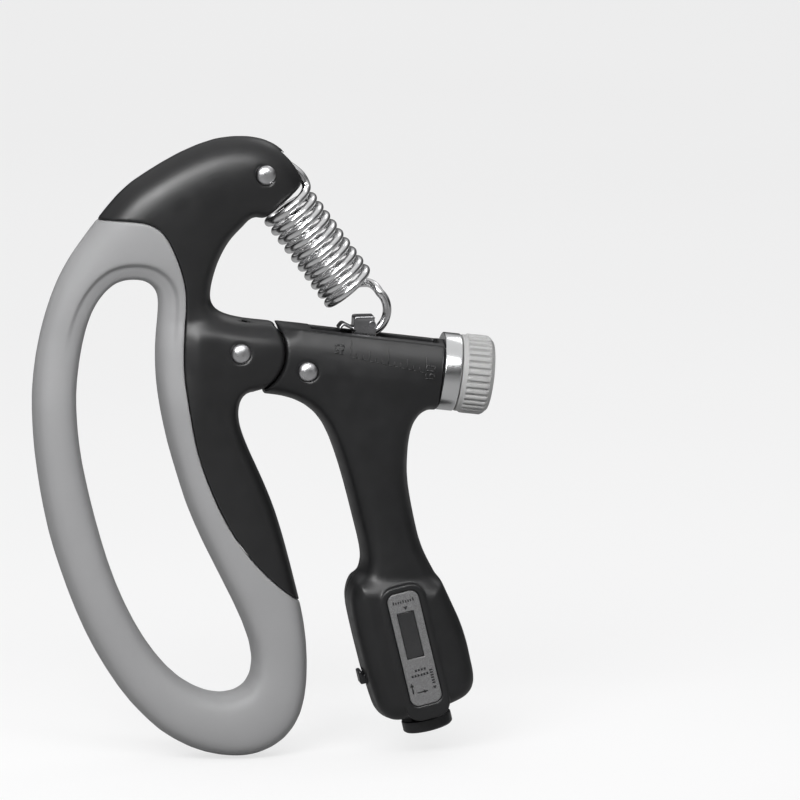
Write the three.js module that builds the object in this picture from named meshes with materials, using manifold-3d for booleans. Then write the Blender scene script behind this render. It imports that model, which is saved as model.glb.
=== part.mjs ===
// Hand grip strengthener with adjustable spring and mechanical squeeze counter.
// Millimetres, +Z up, +X towards the adjusting knob, +Y away from the label side.
// Shapes are drawn from the main pivot, then moved so that the centre of the
// overall box sits at the origin. "Near" is the label side (-Y), "far" is +Y.
import * as THREE from 'three';
import * as BufferGeometryUtils from 'three/addons/utils/BufferGeometryUtils.js';
import Module from 'manifold-3d';

const wasm = await Module();
wasm.setup();

// ---------------------------------------------------------------- shared dimensions
const BOX_CENTRE = [6.975, -0.25, -26.38]; // overall box centre from the main pivot
const THROUGH = 20;                    // half length of cutters that pass right through in Y
const BEVEL_STEPS = 2;

const PIVOT = [0, 0];                  // rivet centres, [X, Z]
const SPRING_PIN = [7.0, 47.95];
const HANDLE_RIVET = [18.0, -5.15];    // holds the hinge plate in the beam

const LEVER_HALF = 9.8;                // half thickness and edge rounding of the front lever
const LEVER_ROUND = 4.6;
const REAR_HALF = 9.6;                 // the same for the beam and neck
const REAR_ROUND = 5.2;
const MODULE_HALF = 11.2;              // the same for the counter housing
const MODULE_ROUND = 2.4;
const LUG_R = 12.1;                    // rounded lug of the front lever
const SOCKET_R = 12.5;                 // matching hollow in the beam

const BEAM_END = [54.64, -6.76];       // centre of the beam's end face
const BEAM_TILT = 7.16;                // degrees, beam axis falls towards the knob
const MODULE_BASE = [51.17, -101.22];  // counter axis at the bottom of the housing
const MODULE_TILT = 13.39;             // degrees from the vertical

// ---------------------------------------------------------------- outlines, [X, Z]
const LEVER_OUTLINE = [
  [-35.56, 38.93], [-32.3, 42.67], [-28.77, 45.85], [-24.7, 48.49], [-15.47, 53.73], [-10.59, 55.8],
  [-5.7, 57.33], [-1.36, 57.84], [2.99, 57.8], [6.79, 57.07], [10.04, 55.65], [12.76, 53.55],
  [15.2, 50.92], [17.1, 47.89], [18.46, 44.6], [18.73, 41.06], [17.64, 37.55], [15.2, 34.88],
  [11.94, 33.46], [8.96, 33.52], [4.89, 36.05], [3.26, 35.4], [-1.9, 30.07], [-3.26, 28.06],
  [-5.56, 23.35], [-7.11, 17.95], [-7.47, 15.51], [-7.41, 13.61], [-6.65, 11.96], [-5.43, 10.85],
  [-3.53, 9.91], [-0.81, 9.12], [10.59, 7.53], [14.12, 6.37], [16.83, 4.13], [18.46, 1.11],
  [18.87, -2.16], [18.19, -5.41], [16.29, -8.36], [13.57, -10.47], [10.32, -11.49], [3.53, -11.35],
  [2.04, -11.73], [0.95, -12.93], [0.27, -14.68], [0, -16.72], [0.14, -18.89], [0.68, -21.35],
  [1.76, -24.36], [6.79, -35.75], [10.04, -44.11], [13.84, -57.5], [16.56, -68.43], [17.64, -73.89],
  [18.32, -79.34], [18.59, -84.78], [18.46, -90.21], [17.92, -94.82], [16.83, -99.15],
  [14.93, -102.92], [12.22, -106.12], [8.96, -108.36], [5.16, -109.92], [1.9, -110.53],
  [-1.36, -110.6], [-5.16, -110.24], [-9.23, -109.34], [-13.3, -107.9], [-17.64, -105.64],
  [-21.45, -103.11], [-25.25, -99.63], [-29.05, -95.61], [-32.58, -91.06], [-35.83, -86.1],
  [-38.82, -81.01], [-41.53, -75.65], [-43.98, -70.03], [-46.15, -64.41], [-49.81, -53.46],
  [-51.31, -47.99], [-53.48, -37.08], [-54.97, -26.17], [-55.59, -15.29], [-55.57, -10.4],
  [-54.56, -0.63], [-52.8, 7.76], [-50.36, 15.59], [-48.73, 19.63], [-46.83, 23.4], [-44.52, 27.15],
];
const LOOP_HOLE = [
  [-27.69, 19.6], [-25.25, 19.28], [-23.35, 18.15], [-21.99, 16.49], [-21.45, 14.44], [-22.26, 1.14],
  [-22.04, -7.29], [-21.58, -11.37], [-20.09, -19.83], [-19, -24.75], [-16.02, -35.14],
  [-14.12, -41.16], [-11.94, -46.64], [-9.5, -52.12], [-1.36, -68.6], [1.09, -74.09], [2.99, -79.56],
  [3.8, -84.47], [3.26, -88.54], [1.63, -91.5], [-1.09, -93.07], [-4.61, -93.54], [-8.42, -92.92],
  [-12.22, -91.34], [-16.02, -88.95], [-19.55, -85.75], [-22.8, -81.88], [-25.79, -77.61],
  [-28.5, -72.93], [-31.08, -67.71], [-33.39, -62.23], [-35.43, -56.48], [-38.82, -44.72],
  [-42.21, -29.7], [-43.43, -19.89], [-43.7, -10.64], [-42.75, -1.69], [-40.85, 6.97],
  [-39.5, 10.74], [-37.73, 13.97], [-35.56, 16.64], [-33.12, 18.63], [-30.4, 19.52],
];
// open line from the top of the lever down, black frame on its +X side, sleeve on its -X side
const SLEEVE_SEAM = [
  [-48.05, 36.61], [-42.62, 36.36], [-38.55, 35.86], [-35.29, 36.2], [-31.76, 36.13], [-27.69, 35.91],
  [-24.97, 35.45], [-22.8, 34.45], [-20.9, 32.92], [-19.41, 30.71], [-17.92, 27.69], [-16.56, 24.26],
  [-15.47, 20.84], [-14.71, 17.57], [-14.47, 14.57], [-14.6, 10.77], [-15.01, 6.43], [-15.31, 2.09],
  [-15.39, -2.26], [-15.2, -6.61], [-14.66, -10.97], [-13.98, -15.34], [-13.17, -20.25],
  [-12.08, -25.71], [-10.59, -31.17], [-8.69, -36.65], [-6.52, -41.86], [-4.07, -46.8],
  [-1.09, -51.76], [2.44, -56.45], [6.52, -60.88], [11.13, -65.06], [16.02, -68.69],
  [21.99, -72.08], [27.96, -74.92],
];
const REAR_OUTLINE = [
  [0.81, 8.54], [11.67, 7.56], [52.39, 2.17], [58.36, 1.1], [62.16, -1.7], [63.79, -5.81],
  [63.52, -10.43], [61.35, -14.19], [57.82, -16.15], [51.31, -17.1], [49.13, -18.28], [47.64, -20.29],
  [46.69, -22.85], [46.15, -26.1], [45.8, -33.43], [46.09, -37.24], [46.69, -41.06], [48.86, -51.44],
  [49.95, -54.72], [51.31, -57.74], [54.29, -63.51], [59.18, -74.21], [61.35, -80.78], [62.98, -87.88],
  [63.25, -90.6], [62.57, -93.03], [60.81, -94.9], [54.83, -97.49], [43.7, -100.93], [40.99, -100.88],
  [38.82, -99.74], [37.46, -97.95], [34.2, -87.82], [30.13, -70.62], [29.86, -67.62], [30.4, -64.91],
  [32.85, -60.07], [33.39, -57.37], [33.12, -54.64], [32.44, -51.37], [28.77, -36.75], [26.2, -28.13],
  [24.7, -24.02], [22.94, -20.32], [20.63, -17.28], [17.92, -15.05], [14.79, -13.49], [11.4, -12.52],
  [3.53, -11.63], [0.27, -9.93], [-1.63, -6.63], [-2.31, -1.72], [-1.9, 3.17],
];

// ---------------------------------------------------------------- flat geometry
const radians = (degrees) => degrees * Math.PI / 180;
const toVectors = (points) => points.map(([x, y]) => new THREE.Vector2(x, y));
const polar = (radius, degrees) => (
  [radius * Math.cos(radians(degrees)), radius * Math.sin(radians(degrees))]);

function arc([x, z], radius, steps, from, to) {
  return Array.from({ length: steps + 1 }, (_, i) => {
    const [dx, dz] = polar(radius, from + (to - from) * i / steps);
    return [x + dx, z + dz];
  });
}
const circle = (centre, radius, steps) => arc(centre, radius, steps, 0, 360).slice(0, -1);

function area(points) {
  return points.reduce((sum, [x, z], i) => {
    const [nextX, nextZ] = points[(i + 1) % points.length];
    return sum + x * nextZ - nextX * z;
  }, 0) / 2;
}
const counterClockwise = (points) => (area(points) > 0 ? [...points] : [...points].reverse());

// outline moved inwards (outwards if the distance is negative) along its corner normals
function inset(points, distance) {
  const side = Math.sign(area(points));
  const count = points.length;
  const normal = (from, to) => {
    const length = Math.hypot(to[0] - from[0], to[1] - from[1]);
    return [-(to[1] - from[1]) / length, (to[0] - from[0]) / length];
  };
  return points.map((point, i) => {
    const before = normal(points[(i + count - 1) % count], point);
    const after = normal(point, points[(i + 1) % count]);
    const sum = [before[0] + after[0], before[1] + after[1]];
    const scale = side * distance / Math.hypot(...sum);
    return [point[0] + scale * sum[0], point[1] + scale * sum[1]];
  });
}

// ---------------------------------------------------------------- solids
// welds the vertices, drops collapsed triangles and makes a manifold
function toManifold(geometry) {
  geometry.deleteAttribute('normal');
  geometry.deleteAttribute('uv');
  const welded = BufferGeometryUtils.mergeVertices(geometry, 1e-4);
  const index = welded.index.array;
  const triangles = [];
  for (let i = 0; i < index.length; i += 3) {
    const [a, b, c] = index.slice(i, i + 3);
    if (a !== b && b !== c && a !== c) triangles.push(a, b, c);
  }
  return new wasm.Manifold(new wasm.Mesh({
    numProp: 3,
    vertProperties: new Float32Array(welded.attributes.position.array),
    triVerts: new Uint32Array(triangles),
  }));
}

// plate with its outline in XZ, from y0 to y1, edges rounded by `round`
function slab(outline, y0, y1, round = 0, holes = []) {
  const shape = new THREE.Shape(toVectors(counterClockwise(outline)));
  for (const hole of holes) {
    shape.holes.push(new THREE.Path(toVectors(counterClockwise(hole).reverse())));
  }
  const geometry = new THREE.ExtrudeGeometry(shape, {
    depth: (y1 - y0) - 2 * round,
    steps: 1,
    curveSegments: 1,
    bevelEnabled: round > 0,
    bevelThickness: round,
    bevelSize: round,
    bevelOffset: -round,
    bevelSegments: BEVEL_STEPS,
  });
  geometry.translate(0, 0, -y1 + round);
  geometry.rotateX(Math.PI / 2);
  return toManifold(geometry);
}
const throughSlab = (outline) => slab(outline, -THROUGH, THROUGH);
const roundBar = (centre, radius, y0 = -THROUGH, y1 = THROUGH, segments = 20) => (
  slab(circle(centre, radius, segments), y0, y1));
const cut = (solid, ...cutters) => cutters.reduce((rest, cutter) => rest.subtract(cutter), solid);
const join = (first, ...others) => others.reduce((whole, other) => whole.add(other), first);

// turned part about +Z; profile points are [radius, height]
function turned(profile, segments) {
  return toManifold(new THREE.LatheGeometry(toVectors(profile), segments).rotateX(Math.PI / 2));
}
const barProfile = (radius, from, to) => [[0, from], [radius, from], [radius, to], [0, to]];
const tubeProfile = (inner, outer, from, to) => (
  [[inner, from], [outer, from], [outer, to], [inner, to], [inner, from]]);

// turned part placed at [x, z], `axes` being its own X, Y and Z directions
function turnedAt([x, z], axes, profile, segments) {
  const matrix = new THREE.Matrix4().makeBasis(...axes).setPosition(x, 0, z);
  return turned(profile, segments).transform([...matrix.elements]);
}
const X_AXIS = new THREE.Vector3(1, 0, 0);
const Y_AXIS = new THREE.Vector3(0, 1, 0);
const Z_AXIS = new THREE.Vector3(0, 0, 1);
const turnedAlongY = (profile, centre, segments) => (
  turnedAt(centre, [Z_AXIS, X_AXIS, Y_AXIS], profile, segments));

// tilted frame in the XZ plane: points and rectangles by distance along its first
// and second direction, and turned parts on the given axes
function tiltedFrame(origin, first, second, axes) {
  const point = (a, b) => [
    origin[0] + first.x * a + second.x * b,
    origin[1] + first.z * a + second.z * b,
  ];
  return {
    point,
    rect: (a0, a1, b0, b1) => [point(a0, b0), point(a1, b0), point(a1, b1), point(a0, b1)],
    turned: (profile, segments) => turnedAt(origin, axes, profile, segments),
  };
}
// beam: first direction along it towards the knob, second up across it
const beamTilt = radians(BEAM_TILT);
const beamAlong = new THREE.Vector3(Math.cos(beamTilt), 0, -Math.sin(beamTilt));
const beamUp = new THREE.Vector3(Math.sin(beamTilt), 0, Math.cos(beamTilt));
const beam = tiltedFrame(BEAM_END, beamAlong, beamUp, [Y_AXIS, beamUp, beamAlong]);
// counter housing: first direction across it towards +X, second up along it
const moduleTilt = radians(MODULE_TILT);
const moduleAcross = new THREE.Vector3(Math.cos(moduleTilt), 0, Math.sin(moduleTilt));
const moduleUp = new THREE.Vector3(-Math.sin(moduleTilt), 0, Math.cos(moduleTilt));
const housing = tiltedFrame(MODULE_BASE, moduleAcross, moduleUp, [moduleAcross, Y_AXIS, moduleUp]);

// wire swept along a curve through the points
function wire(points, radius, steps, sides) {
  const section = new THREE.Shape(toVectors(circle([0, 0], radius, sides)));
  return toManifold(new THREE.ExtrudeGeometry(section, {
    extrudePath: new THREE.CatmullRomCurve3(points),
    steps,
    bevelEnabled: false,
    curveSegments: 1,
  }));
}

// ---------------------------------------------------------------- rivets
const SHANK_R = 1.85;
const HEAD_R = 2.4;
const SHANK_GAP = 0.06;
const HEAD_POCKET = { gap: 0.35, depth: 0.9 };
const SEAT_DEPTH = 0.75;               // head seat below the face
const HEAD_LIFT = 0.02;                // underside of the head above its seat
// domed head, [radius, height above the seat]
const DOME = [[0, 1.45], [1.1, 1.3], [1.95, 0.85], [HEAD_R, 0.3], [HEAD_R, HEAD_LIFT]];

// near head with the shank
function rivetPost(centre, half) {
  const seat = half - SEAT_DEPTH;
  const tip = seat - 1.2;
  return turnedAlongY([
    ...DOME.map(([radius, height]) => [radius, -seat - height]),
    [SHANK_R, -seat - HEAD_LIFT], [SHANK_R, tip], [0, tip],
  ], centre, 18);
}
// far head with a short stub
function rivetCap(centre, half) {
  const seat = half - SEAT_DEPTH;
  const stub = seat - 1.05;
  return turnedAlongY([
    [0, stub], [SHANK_R, stub], [SHANK_R, seat + HEAD_LIFT],
    ...DOME.map(([radius, height]) => [radius, seat + height]).reverse(),
  ], centre, 18);
}
// round pockets for the heads in both faces
function headPockets(centre, half) {
  const radius = HEAD_R + HEAD_POCKET.gap;
  const floor = half - HEAD_POCKET.depth;
  return [
    roundBar(centre, radius, -THROUGH, -floor),
    roundBar(centre, radius, floor, THROUGH),
  ];
}

// arc about the main pivot on the -X side, cut flat at height `top`
const flatTopArc = (radius, steps, top) => (
  arc(PIVOT, radius, steps, 60, 270).map(([x, z]) => [x, Math.min(z, top)]));

// ---------------------------------------------------------------- front lever
const SEAM_GAP = 0.12;                 // between black frame and sleeve
const CORE = { inset: 3.9, half: 4.6 };  // stiff loop inside the grip sleeve
const CORE_GAP = 0.15;
const LEVER_HINGE_HALF = 2.75;         // half width of the room for the hinge plate
const HOOK_ROOM_HALF = 1.75;           // half width of the room for the spring's upper hook

const leverBody = slab(LEVER_OUTLINE, -LEVER_HALF, LEVER_HALF, LEVER_ROUND, [LOOP_HOLE]);
// the seam moved off the black frame, closed round the sleeve
const sleeveZone = throughSlab([
  ...SLEEVE_SEAM.map(([x, z], i, seam) => {
    const before = seam[Math.max(0, i - 1)];
    const after = seam[Math.min(seam.length - 1, i + 1)];
    const dx = after[0] - before[0];
    const dz = after[1] - before[1];
    const scale = SEAM_GAP / Math.hypot(dx, dz);
    return [x + scale * dz, z - scale * dx];
  }),
  [45, -130], [-80, -130], [-80, 36.4],
]);
const leverLoop = (distance, half) => (
  slab(inset(LEVER_OUTLINE, distance), -half, half, 0, [inset(LOOP_HOLE, -distance)]));

function frontFrame() {
  const blackZone = throughSlab([...SLEEVE_SEAM, [45, -75], [45, 80], [-60, 80]]);
  // leaves a lug rounded about the main pivot
  const lugCut = throughSlab([
    [8.2, 30], [8.2, 8.95], ...arc(PIVOT, LUG_R, 16, -66.5, 47).reverse(),
    [4.55, -14], [9, -14.5], [12, -19], [30, -19], [30, 30],
  ]);
  const armEndCut = throughSlab(
    [[5.3, 33.97], [8, 28], [30, 28], [30, 50], [19.5, 50], [17.95, 45.15]]);
  // open towards the beam
  const hingeRoom = slab([
    ...flatTopArc(9.4, 24, 7.2), [4.7, -9.55], polar(SOCKET_R, -52),
    [20, -10], [20, 12], polar(SOCKET_R, 48),
  ], -LEVER_HINGE_HALF, LEVER_HINGE_HALF);
  // open towards the arm's end face
  const hookRoom = slab([
    ...arc([SPRING_PIN[0] + 1.2, SPRING_PIN[1] - 1.5], 8.3, 20, 40, 240),
    [2.0, 34], [8, 28], [24, 36], [21.5, 50],
  ], -HOOK_ROOM_HALF, HOOK_ROOM_HALF);
  const black = cut(
    leverBody.intersect(blackZone),
    lugCut,
    armEndCut,
    hingeRoom,
    hookRoom,
    roundBar(PIVOT, SHANK_R + SHANK_GAP),
    roundBar(SPRING_PIN, SHANK_R + 0.2),
    ...headPockets(PIVOT, LEVER_HALF),
    ...headPockets(SPRING_PIN, LEVER_HALF),
  );
  // overlap that ties the core to the black frame across the seam
  const coreRoot = slab([
    [-30, 36], [-14, 36], [-10, 14], [-11, -20], [-4, -42], [16, -66], [26, -72],
    [10, -100], [-20, -30],
  ], -10, 10);
  const core = leverLoop(CORE.inset, CORE.half).intersect(sleeveZone.add(coreRoot));
  return black.add(core.subtract(lugCut));
}

function gripSleeve() {
  const coreRoom = leverLoop(CORE.inset - CORE_GAP, CORE.half + CORE_GAP);
  return leverBody.intersect(sleeveZone).subtract(coreRoom);
}

// ---------------------------------------------------------------- label and window outlines
const LABEL = { across: 0.2, up: 21.1, width: 8.6, length: 31.4, corner: 2.3 };
const WINDOW = { up: 24.9, width: 4.7, length: 12.9 };

// rounded rectangle about the label centre, `margin` wider and longer than the label
function labelOutline(margin, corner, steps = 5) {
  const across = (LABEL.width + margin) / 2 - corner;
  const up = (LABEL.length + margin) / 2 - corner;
  const quarters = [[1, 1, 0], [-1, 1, 90], [-1, -1, 180], [1, -1, 270]];
  return quarters.flatMap(([signAcross, signUp, start]) => {
    const centre = [LABEL.across + signAcross * across, LABEL.up + signUp * up];
    return arc(centre, corner, steps, start, start + 90).map(([a, b]) => housing.point(a, b));
  });
}
function windowOutline(gap = 0) {
  const across = WINDOW.width / 2 - gap;
  const up = WINDOW.length / 2 - gap;
  return housing.rect(-across, across, WINDOW.up - up, WINDOW.up + up);
}

// ---------------------------------------------------------------- rear handle
const SCREW_R = 3.0;                   // adjuster screw
const BORE = { radius: 6.9, start: -33.0 };  // bore of the beam around the nut
const SLOT_HALF = 4.4;                 // slot along the top of the beam
const REAR_HINGE_HALF = 2.65;          // half width of the hinge plate pocket
const HALF_GAP = 0.05;                 // from the middle plane to each shell
const TRIGGER_UP = 15.2;               // height of the trigger on the housing
const SHELL_SCREWS = [[37.0, -19.5], [41.6, -55.5], housing.point(10.9, 12.5)];

function rearBody() {
  const lowerOutline = REAR_OUTLINE.filter(([, z]) => z < -62);
  const body = join(
    slab(REAR_OUTLINE, -REAR_HALF, REAR_HALF, REAR_ROUND),
    slab(inset(lowerOutline, 0.25), -MODULE_HALF, MODULE_HALF, MODULE_ROUND),
    // raised land around the label
    slab(labelOutline(3.6, 4, 4), -MODULE_HALF - 0.3, 0),
  );
  const endCut = throughSlab(
    [beam.point(0, -14), beam.point(16, -10), beam.point(16, 22), beam.point(0, 14)]);
  const socket = throughSlab([
    [-20, -30], [6.4, -30], [6.9, -12.6], ...arc(PIVOT, SOCKET_R, 16, -57, 44),
    [9.0, 20], [-20, 20],
  ]);
  const screwTailHole = barProfile(SCREW_R + 0.25, -33.7, -32.5);
  const hingePocket = slab([
    [0, -8.9], [8, -8.9], [16, -9.4], [20.9, -8.9], [20.9, -1.2], [16, 2.6], [9, 5.6], [0, 7],
  ], -REAR_HINGE_HALF, REAR_HINGE_HALF);
  const triggerHole = housing.rect(-20, -8, TRIGGER_UP - 2.15, TRIGGER_UP + 2.15);
  return cut(
    body,
    endCut,
    socket,
    beam.turned(barProfile(BORE.radius, BORE.start, 0.5), 28),
    beam.turned(screwTailHole, 20),
    slab(beam.rect(-36.4, -1.6, 2, 20), -SLOT_HALF, SLOT_HALF),
    hingePocket,
    // counter room, window and trigger opening
    slab(housing.rect(-9.4, 8.3, 4.2, 38.5), -8.9, 8.9),
    slab(windowOutline(), -THROUGH, -5),
    slab(triggerHole, -3.3, 3.3),
    // neck and rim of the reset knob
    housing.turned(barProfile(4.2, -8, 6), 24),
    housing.turned(barProfile(7.2, -8, 0.6), 28),
    // recess for the label plate
    slab(labelOutline(0.3, 2.4), -THROUGH, -MODULE_HALF + 0.35),
    roundBar(HANDLE_RIVET, SHANK_R + SHANK_GAP),
    ...headPockets(HANDLE_RIVET, REAR_HALF),
  );
}

// near and far shell, split at the middle plane and drilled for the screws
function rearShells() {
  const body = rearBody();
  const everything = [[-80, -140], [100, -140], [100, 80], [-80, 80]];
  const near = body.intersect(slab(everything, -THROUGH, -HALF_GAP));
  const far = body.intersect(slab(everything, HALF_GAP, THROUGH));
  return [
    cut(near, ...SHELL_SCREWS.map((centre) => roundBar(centre, 1.35, -5.2, 1, 16))),
    cut(far, ...SHELL_SCREWS.flatMap((centre) => [
      roundBar(centre, 1.45, -1, 12, 16),
      roundBar(centre, 2.5, 5.0, THROUGH),
    ])),
  ];
}

const shellScrew = (centre) => turnedAlongY([
  [0, -5.0], [1.25, -5.0], [1.25, 5.05], [2.3, 5.05], [2.3, 6.3], [1.5, 6.9],
  [0.6, 7.0], [0.6, 6.3], [0, 6.3],
], centre, 12);

// steel plate that carries the beam on the main pivot
function hingePlate() {
  return cut(
    slab([
      ...flatTopArc(8.4, 16, 6.35), [7.5, -7.6], [16, -8.6], [20.6, -8.3],
      [20.6, -1.6], [16, 2.2], [9, 5.2],
    ], -2.4, 2.4),
    roundBar(PIVOT, SHANK_R + 0.12),
    roundBar(HANDLE_RIVET, SHANK_R + SHANK_GAP),
  );
}

// ---------------------------------------------------------------- adjuster
const RING = { radius: 10.5, width: 4.75, edge: 0.4, bore: SCREW_R + 0.3 };
const KNOB = { radius: 10.7, length: 9.3, flutes: 36, fluteDepth: 0.6, start: RING.width + 0.3 };

const endRing = () => beam.turned([
  [RING.bore, -1.4], [6.7, -1.4], [6.7, 0.1], [RING.radius - RING.edge, 0.1],
  [RING.radius, 0.5], [RING.radius, RING.width - RING.edge],
  [RING.radius - RING.edge, RING.width], [RING.bore, RING.width], [RING.bore, -1.4],
], 30);

function adjusterKnob() {
  const { radius, start } = KNOB;
  const flutes = Array.from({ length: 2 * KNOB.flutes }, (_, i) => (
    polar(radius - (i % 2) * KNOB.fluteDepth, 180 * i / KNOB.flutes)));
  const grip = new THREE.ExtrudeGeometry(new THREE.Shape(toVectors(flutes)), {
    depth: 6.2,
    steps: 1,
    bevelEnabled: false,
    curveSegments: 1,
  }).translate(0, 0, start + 1.0);
  // [inset from the knob radius, height above the start]
  const side = [
    [0.5, 0], [0.3, 0.4], [0.3, 1.2], [0.9, 1.6], [0.9, 6.9], [0.7, 7.4], [1.8, 8.5],
    [4.2, KNOB.length - 0.15],
  ].map(([step, height]) => [radius - step, start + height]);
  const core = turned([[0, start], ...side, [0, start + KNOB.length]], 36);
  const bore = turned(barProfile(SCREW_R + 0.05, start - 1, start + 6.05), 24);
  const matrix = new THREE.Matrix4().makeBasis(Y_AXIS, beamUp, beamAlong)
    .setPosition(BEAM_END[0], 0, BEAM_END[1]);
  return toManifold(grip).add(core).subtract(bore).transform([...matrix.elements]);
}

const adjusterScrew = () => beam.turned([
  [0, -33.4], [SCREW_R - 0.6, -33.4], [SCREW_R, -32.8],
  [SCREW_R, KNOB.start + 6.0], [0, KNOB.start + 6.0],
], 24);
const retainingClip = () => beam.turned(tubeProfile(SCREW_R + 0.04, 5.6, -2.35, -1.5), 24);

// ---------------------------------------------------------------- carriage
const NUT = { radius: 6.3, start: -24.6, end: -15.6 };
const BRACKET_PIN = [36.2, 6.5];
const BRACKET_PIN_R = 1.0;
const BRACKET = { outer: 3.9, inner: 2.7 };  // faces of the two cheeks, from the middle plane
const BRACKET_LIP = [
  [29.4, 6.1], [28.5, 6.0], [27.6, 6.95], [26.9, 6.5], [27.9, 4.75], [29.9, 4.2],
];

// nut with a flattened top and a groove for each cheek of the bracket
function carriageNut() {
  const topFrom = (height) => beam.rect(NUT.start - 1, NUT.end + 1, height, 9);
  return cut(
    beam.turned(tubeProfile(SCREW_R + 0.12, NUT.radius, NUT.start, NUT.end), 28),
    slab(topFrom(3.45), -4.0, -2.6),
    slab(topFrom(3.45), 2.6, 4.0),
    slab(topFrom(4.6), -4.0, 4.0),
  );
}

function hookBracket() {
  const cheek = [
    beam.point(-24.2, 3.55), beam.point(-16.0, 3.55), [38.2, 2.6], [37.6, 4.0], [37.35, 8.0],
    [36.8, 8.25], [32.1, 8.35], [31.55, 8.0], [31.4, 5.9], ...BRACKET_LIP,
  ];
  return join(
    slab(cheek, -BRACKET.outer, -BRACKET.inner),
    slab(cheek, BRACKET.inner, BRACKET.outer),
    slab([...BRACKET_LIP, [30.2, 6.05]], -BRACKET.outer, BRACKET.outer),
  ).subtract(roundBar(BRACKET_PIN, BRACKET_PIN_R + 0.06));
}

// ---------------------------------------------------------------- tension spring
const SPRING_DIR = [0.587, -0.8096];   // spring axis, X and Z
// start and end are measured along the spring from its pin
const COIL = { radius: 6.7, turns: 9.75, stepsPerTurn: 12, start: 10.4, end: 40.2, hand: -1 };
// upper hook in the middle plane, [along, across] the spring
const UPPER_HOOK = [
  [1.6, -4.2], [-1.2, -3.7], [-2.95, -1.6], [-3.1, 0.9], [-2.1, 3.9], [0.6, 6.6],
  [4.0, 7.9], [7.0, 8.2], [9.2, 7.7],
];
const LOWER_HOOK = { radius: 6.5, along: 46.6, across: -0.3, from: -10, step: 18.75, steps: 8 };

function tensionSpring() {
  const [dirX, dirZ] = SPRING_DIR;
  const at = (along, across, y) => new THREE.Vector3(
    SPRING_PIN[0] + dirX * along - dirZ * across,
    y,
    SPRING_PIN[1] + dirZ * along + dirX * across,
  );
  const path = UPPER_HOOK.map(([along, across]) => at(along, across, 0));
  path.push(at(COIL.start - 0.05, COIL.radius + 0.15, 0.9 * COIL.hand));
  const coilSteps = COIL.turns * COIL.stepsPerTurn;
  for (let i = 1; i <= coilSteps; i++) {
    const [across, y] = polar(COIL.radius, 360 * i / COIL.stepsPerTurn);
    path.push(at(COIL.start + (COIL.end - COIL.start) * i / coilSteps, across, COIL.hand * y));
  }
  // back to the middle plane: [along past the coils, across, y]
  for (const [along, across, y] of [[0.9, 3.4, -5.2], [2.0, 5.4, -2.9], [3.4, 6.1, -1.0]]) {
    path.push(at(COIL.end + along, across, y * COIL.hand));
  }
  for (let i = 0; i <= LOWER_HOOK.steps; i++) {
    const [across, along] = polar(LOWER_HOOK.radius, LOWER_HOOK.from + LOWER_HOOK.step * i);
    path.push(at(LOWER_HOOK.along + along, LOWER_HOOK.across + across, 0));
  }
  return wire(path, 1.12, 168, 6);
}

// ---------------------------------------------------------------- counter
const WHEEL = { bore: 1.6, radius: 7.6, width: 3.0, pitch: 3.12, start: 18.7 };
const FRAME = { left: -5.5, right: 7.0, bottom: 12.4, top: 33.2, shelf: 1.1 };
const TRIGGER_COIL = { radius: 1.35, up: 14.35, start: -7.5, length: 4.3, steps: 32, perTurn: 8 };

const labelPlate = () => cut(
  slab(labelOutline(0, LABEL.corner), -MODULE_HALF - 0.5, -MODULE_HALF + 0.28),
  throughSlab(windowOutline()),
);
const counterWindow = () => slab(windowOutline(0.08), -MODULE_HALF - 0.2, -MODULE_HALF + 1.2);

// back plate on the far side, two shelves and a tab below, bored for the shaft
function counterFrame() {
  const { left, right, bottom, top, shelf } = FRAME;
  return join(
    slab(housing.rect(left, right, bottom, top), 8.0, 8.7),
    slab(housing.rect(left, right, 16.5, 16.5 + shelf), -4.0, 8.3),
    slab(housing.rect(left, right, top - shelf, top), -4.0, 8.3),
    slab(housing.rect(-2.75, -1.95, bottom, 17.0), -2.5, 8.3),
  ).subtract(housing.turned(barProfile(1.62, 10, 35), 20));
}

function counterWheel(place) {
  const from = WHEEL.start + WHEEL.pitch * place;
  return housing.turned(tubeProfile(WHEEL.bore, WHEEL.radius, from, from + WHEEL.width), 20);
}

const resetKnob = () => housing.turned([
  [0, -3.1], [6.2, -3.1], [6.85, -2.5], [6.85, 0.25], [3.9, 0.25], [3.9, 4.0],
  [1.55, 4.0], [1.55, -0.95], [0, -0.95],
], 22);

// button with a wider flange inside the housing and a notch at its outer lower edge
function triggerButton() {
  return slab(housing.rect(-15.6, -8.6, TRIGGER_UP - 1.9, TRIGGER_UP + 1.9), -3.0, 3.0)
    .add(slab(housing.rect(-9.1, -7.95, 12.3, TRIGGER_UP + 1.6), -4.5, 4.5))
    .subtract(throughSlab(housing.rect(-15.9, -15.1, TRIGGER_UP - 2, TRIGGER_UP - 1.3)));
}

function triggerSpring() {
  const { radius, up, start, length, steps, perTurn } = TRIGGER_COIL;
  const path = [];
  for (let i = 0; i <= steps; i++) {
    const [rise, y] = polar(radius, 360 * i / perTurn);
    const [x, z] = housing.point(start + length * i / steps, up + rise);
    path.push(new THREE.Vector3(x, y, z));
  }
  return wire(path, 0.28, steps, 4);
}

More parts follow.
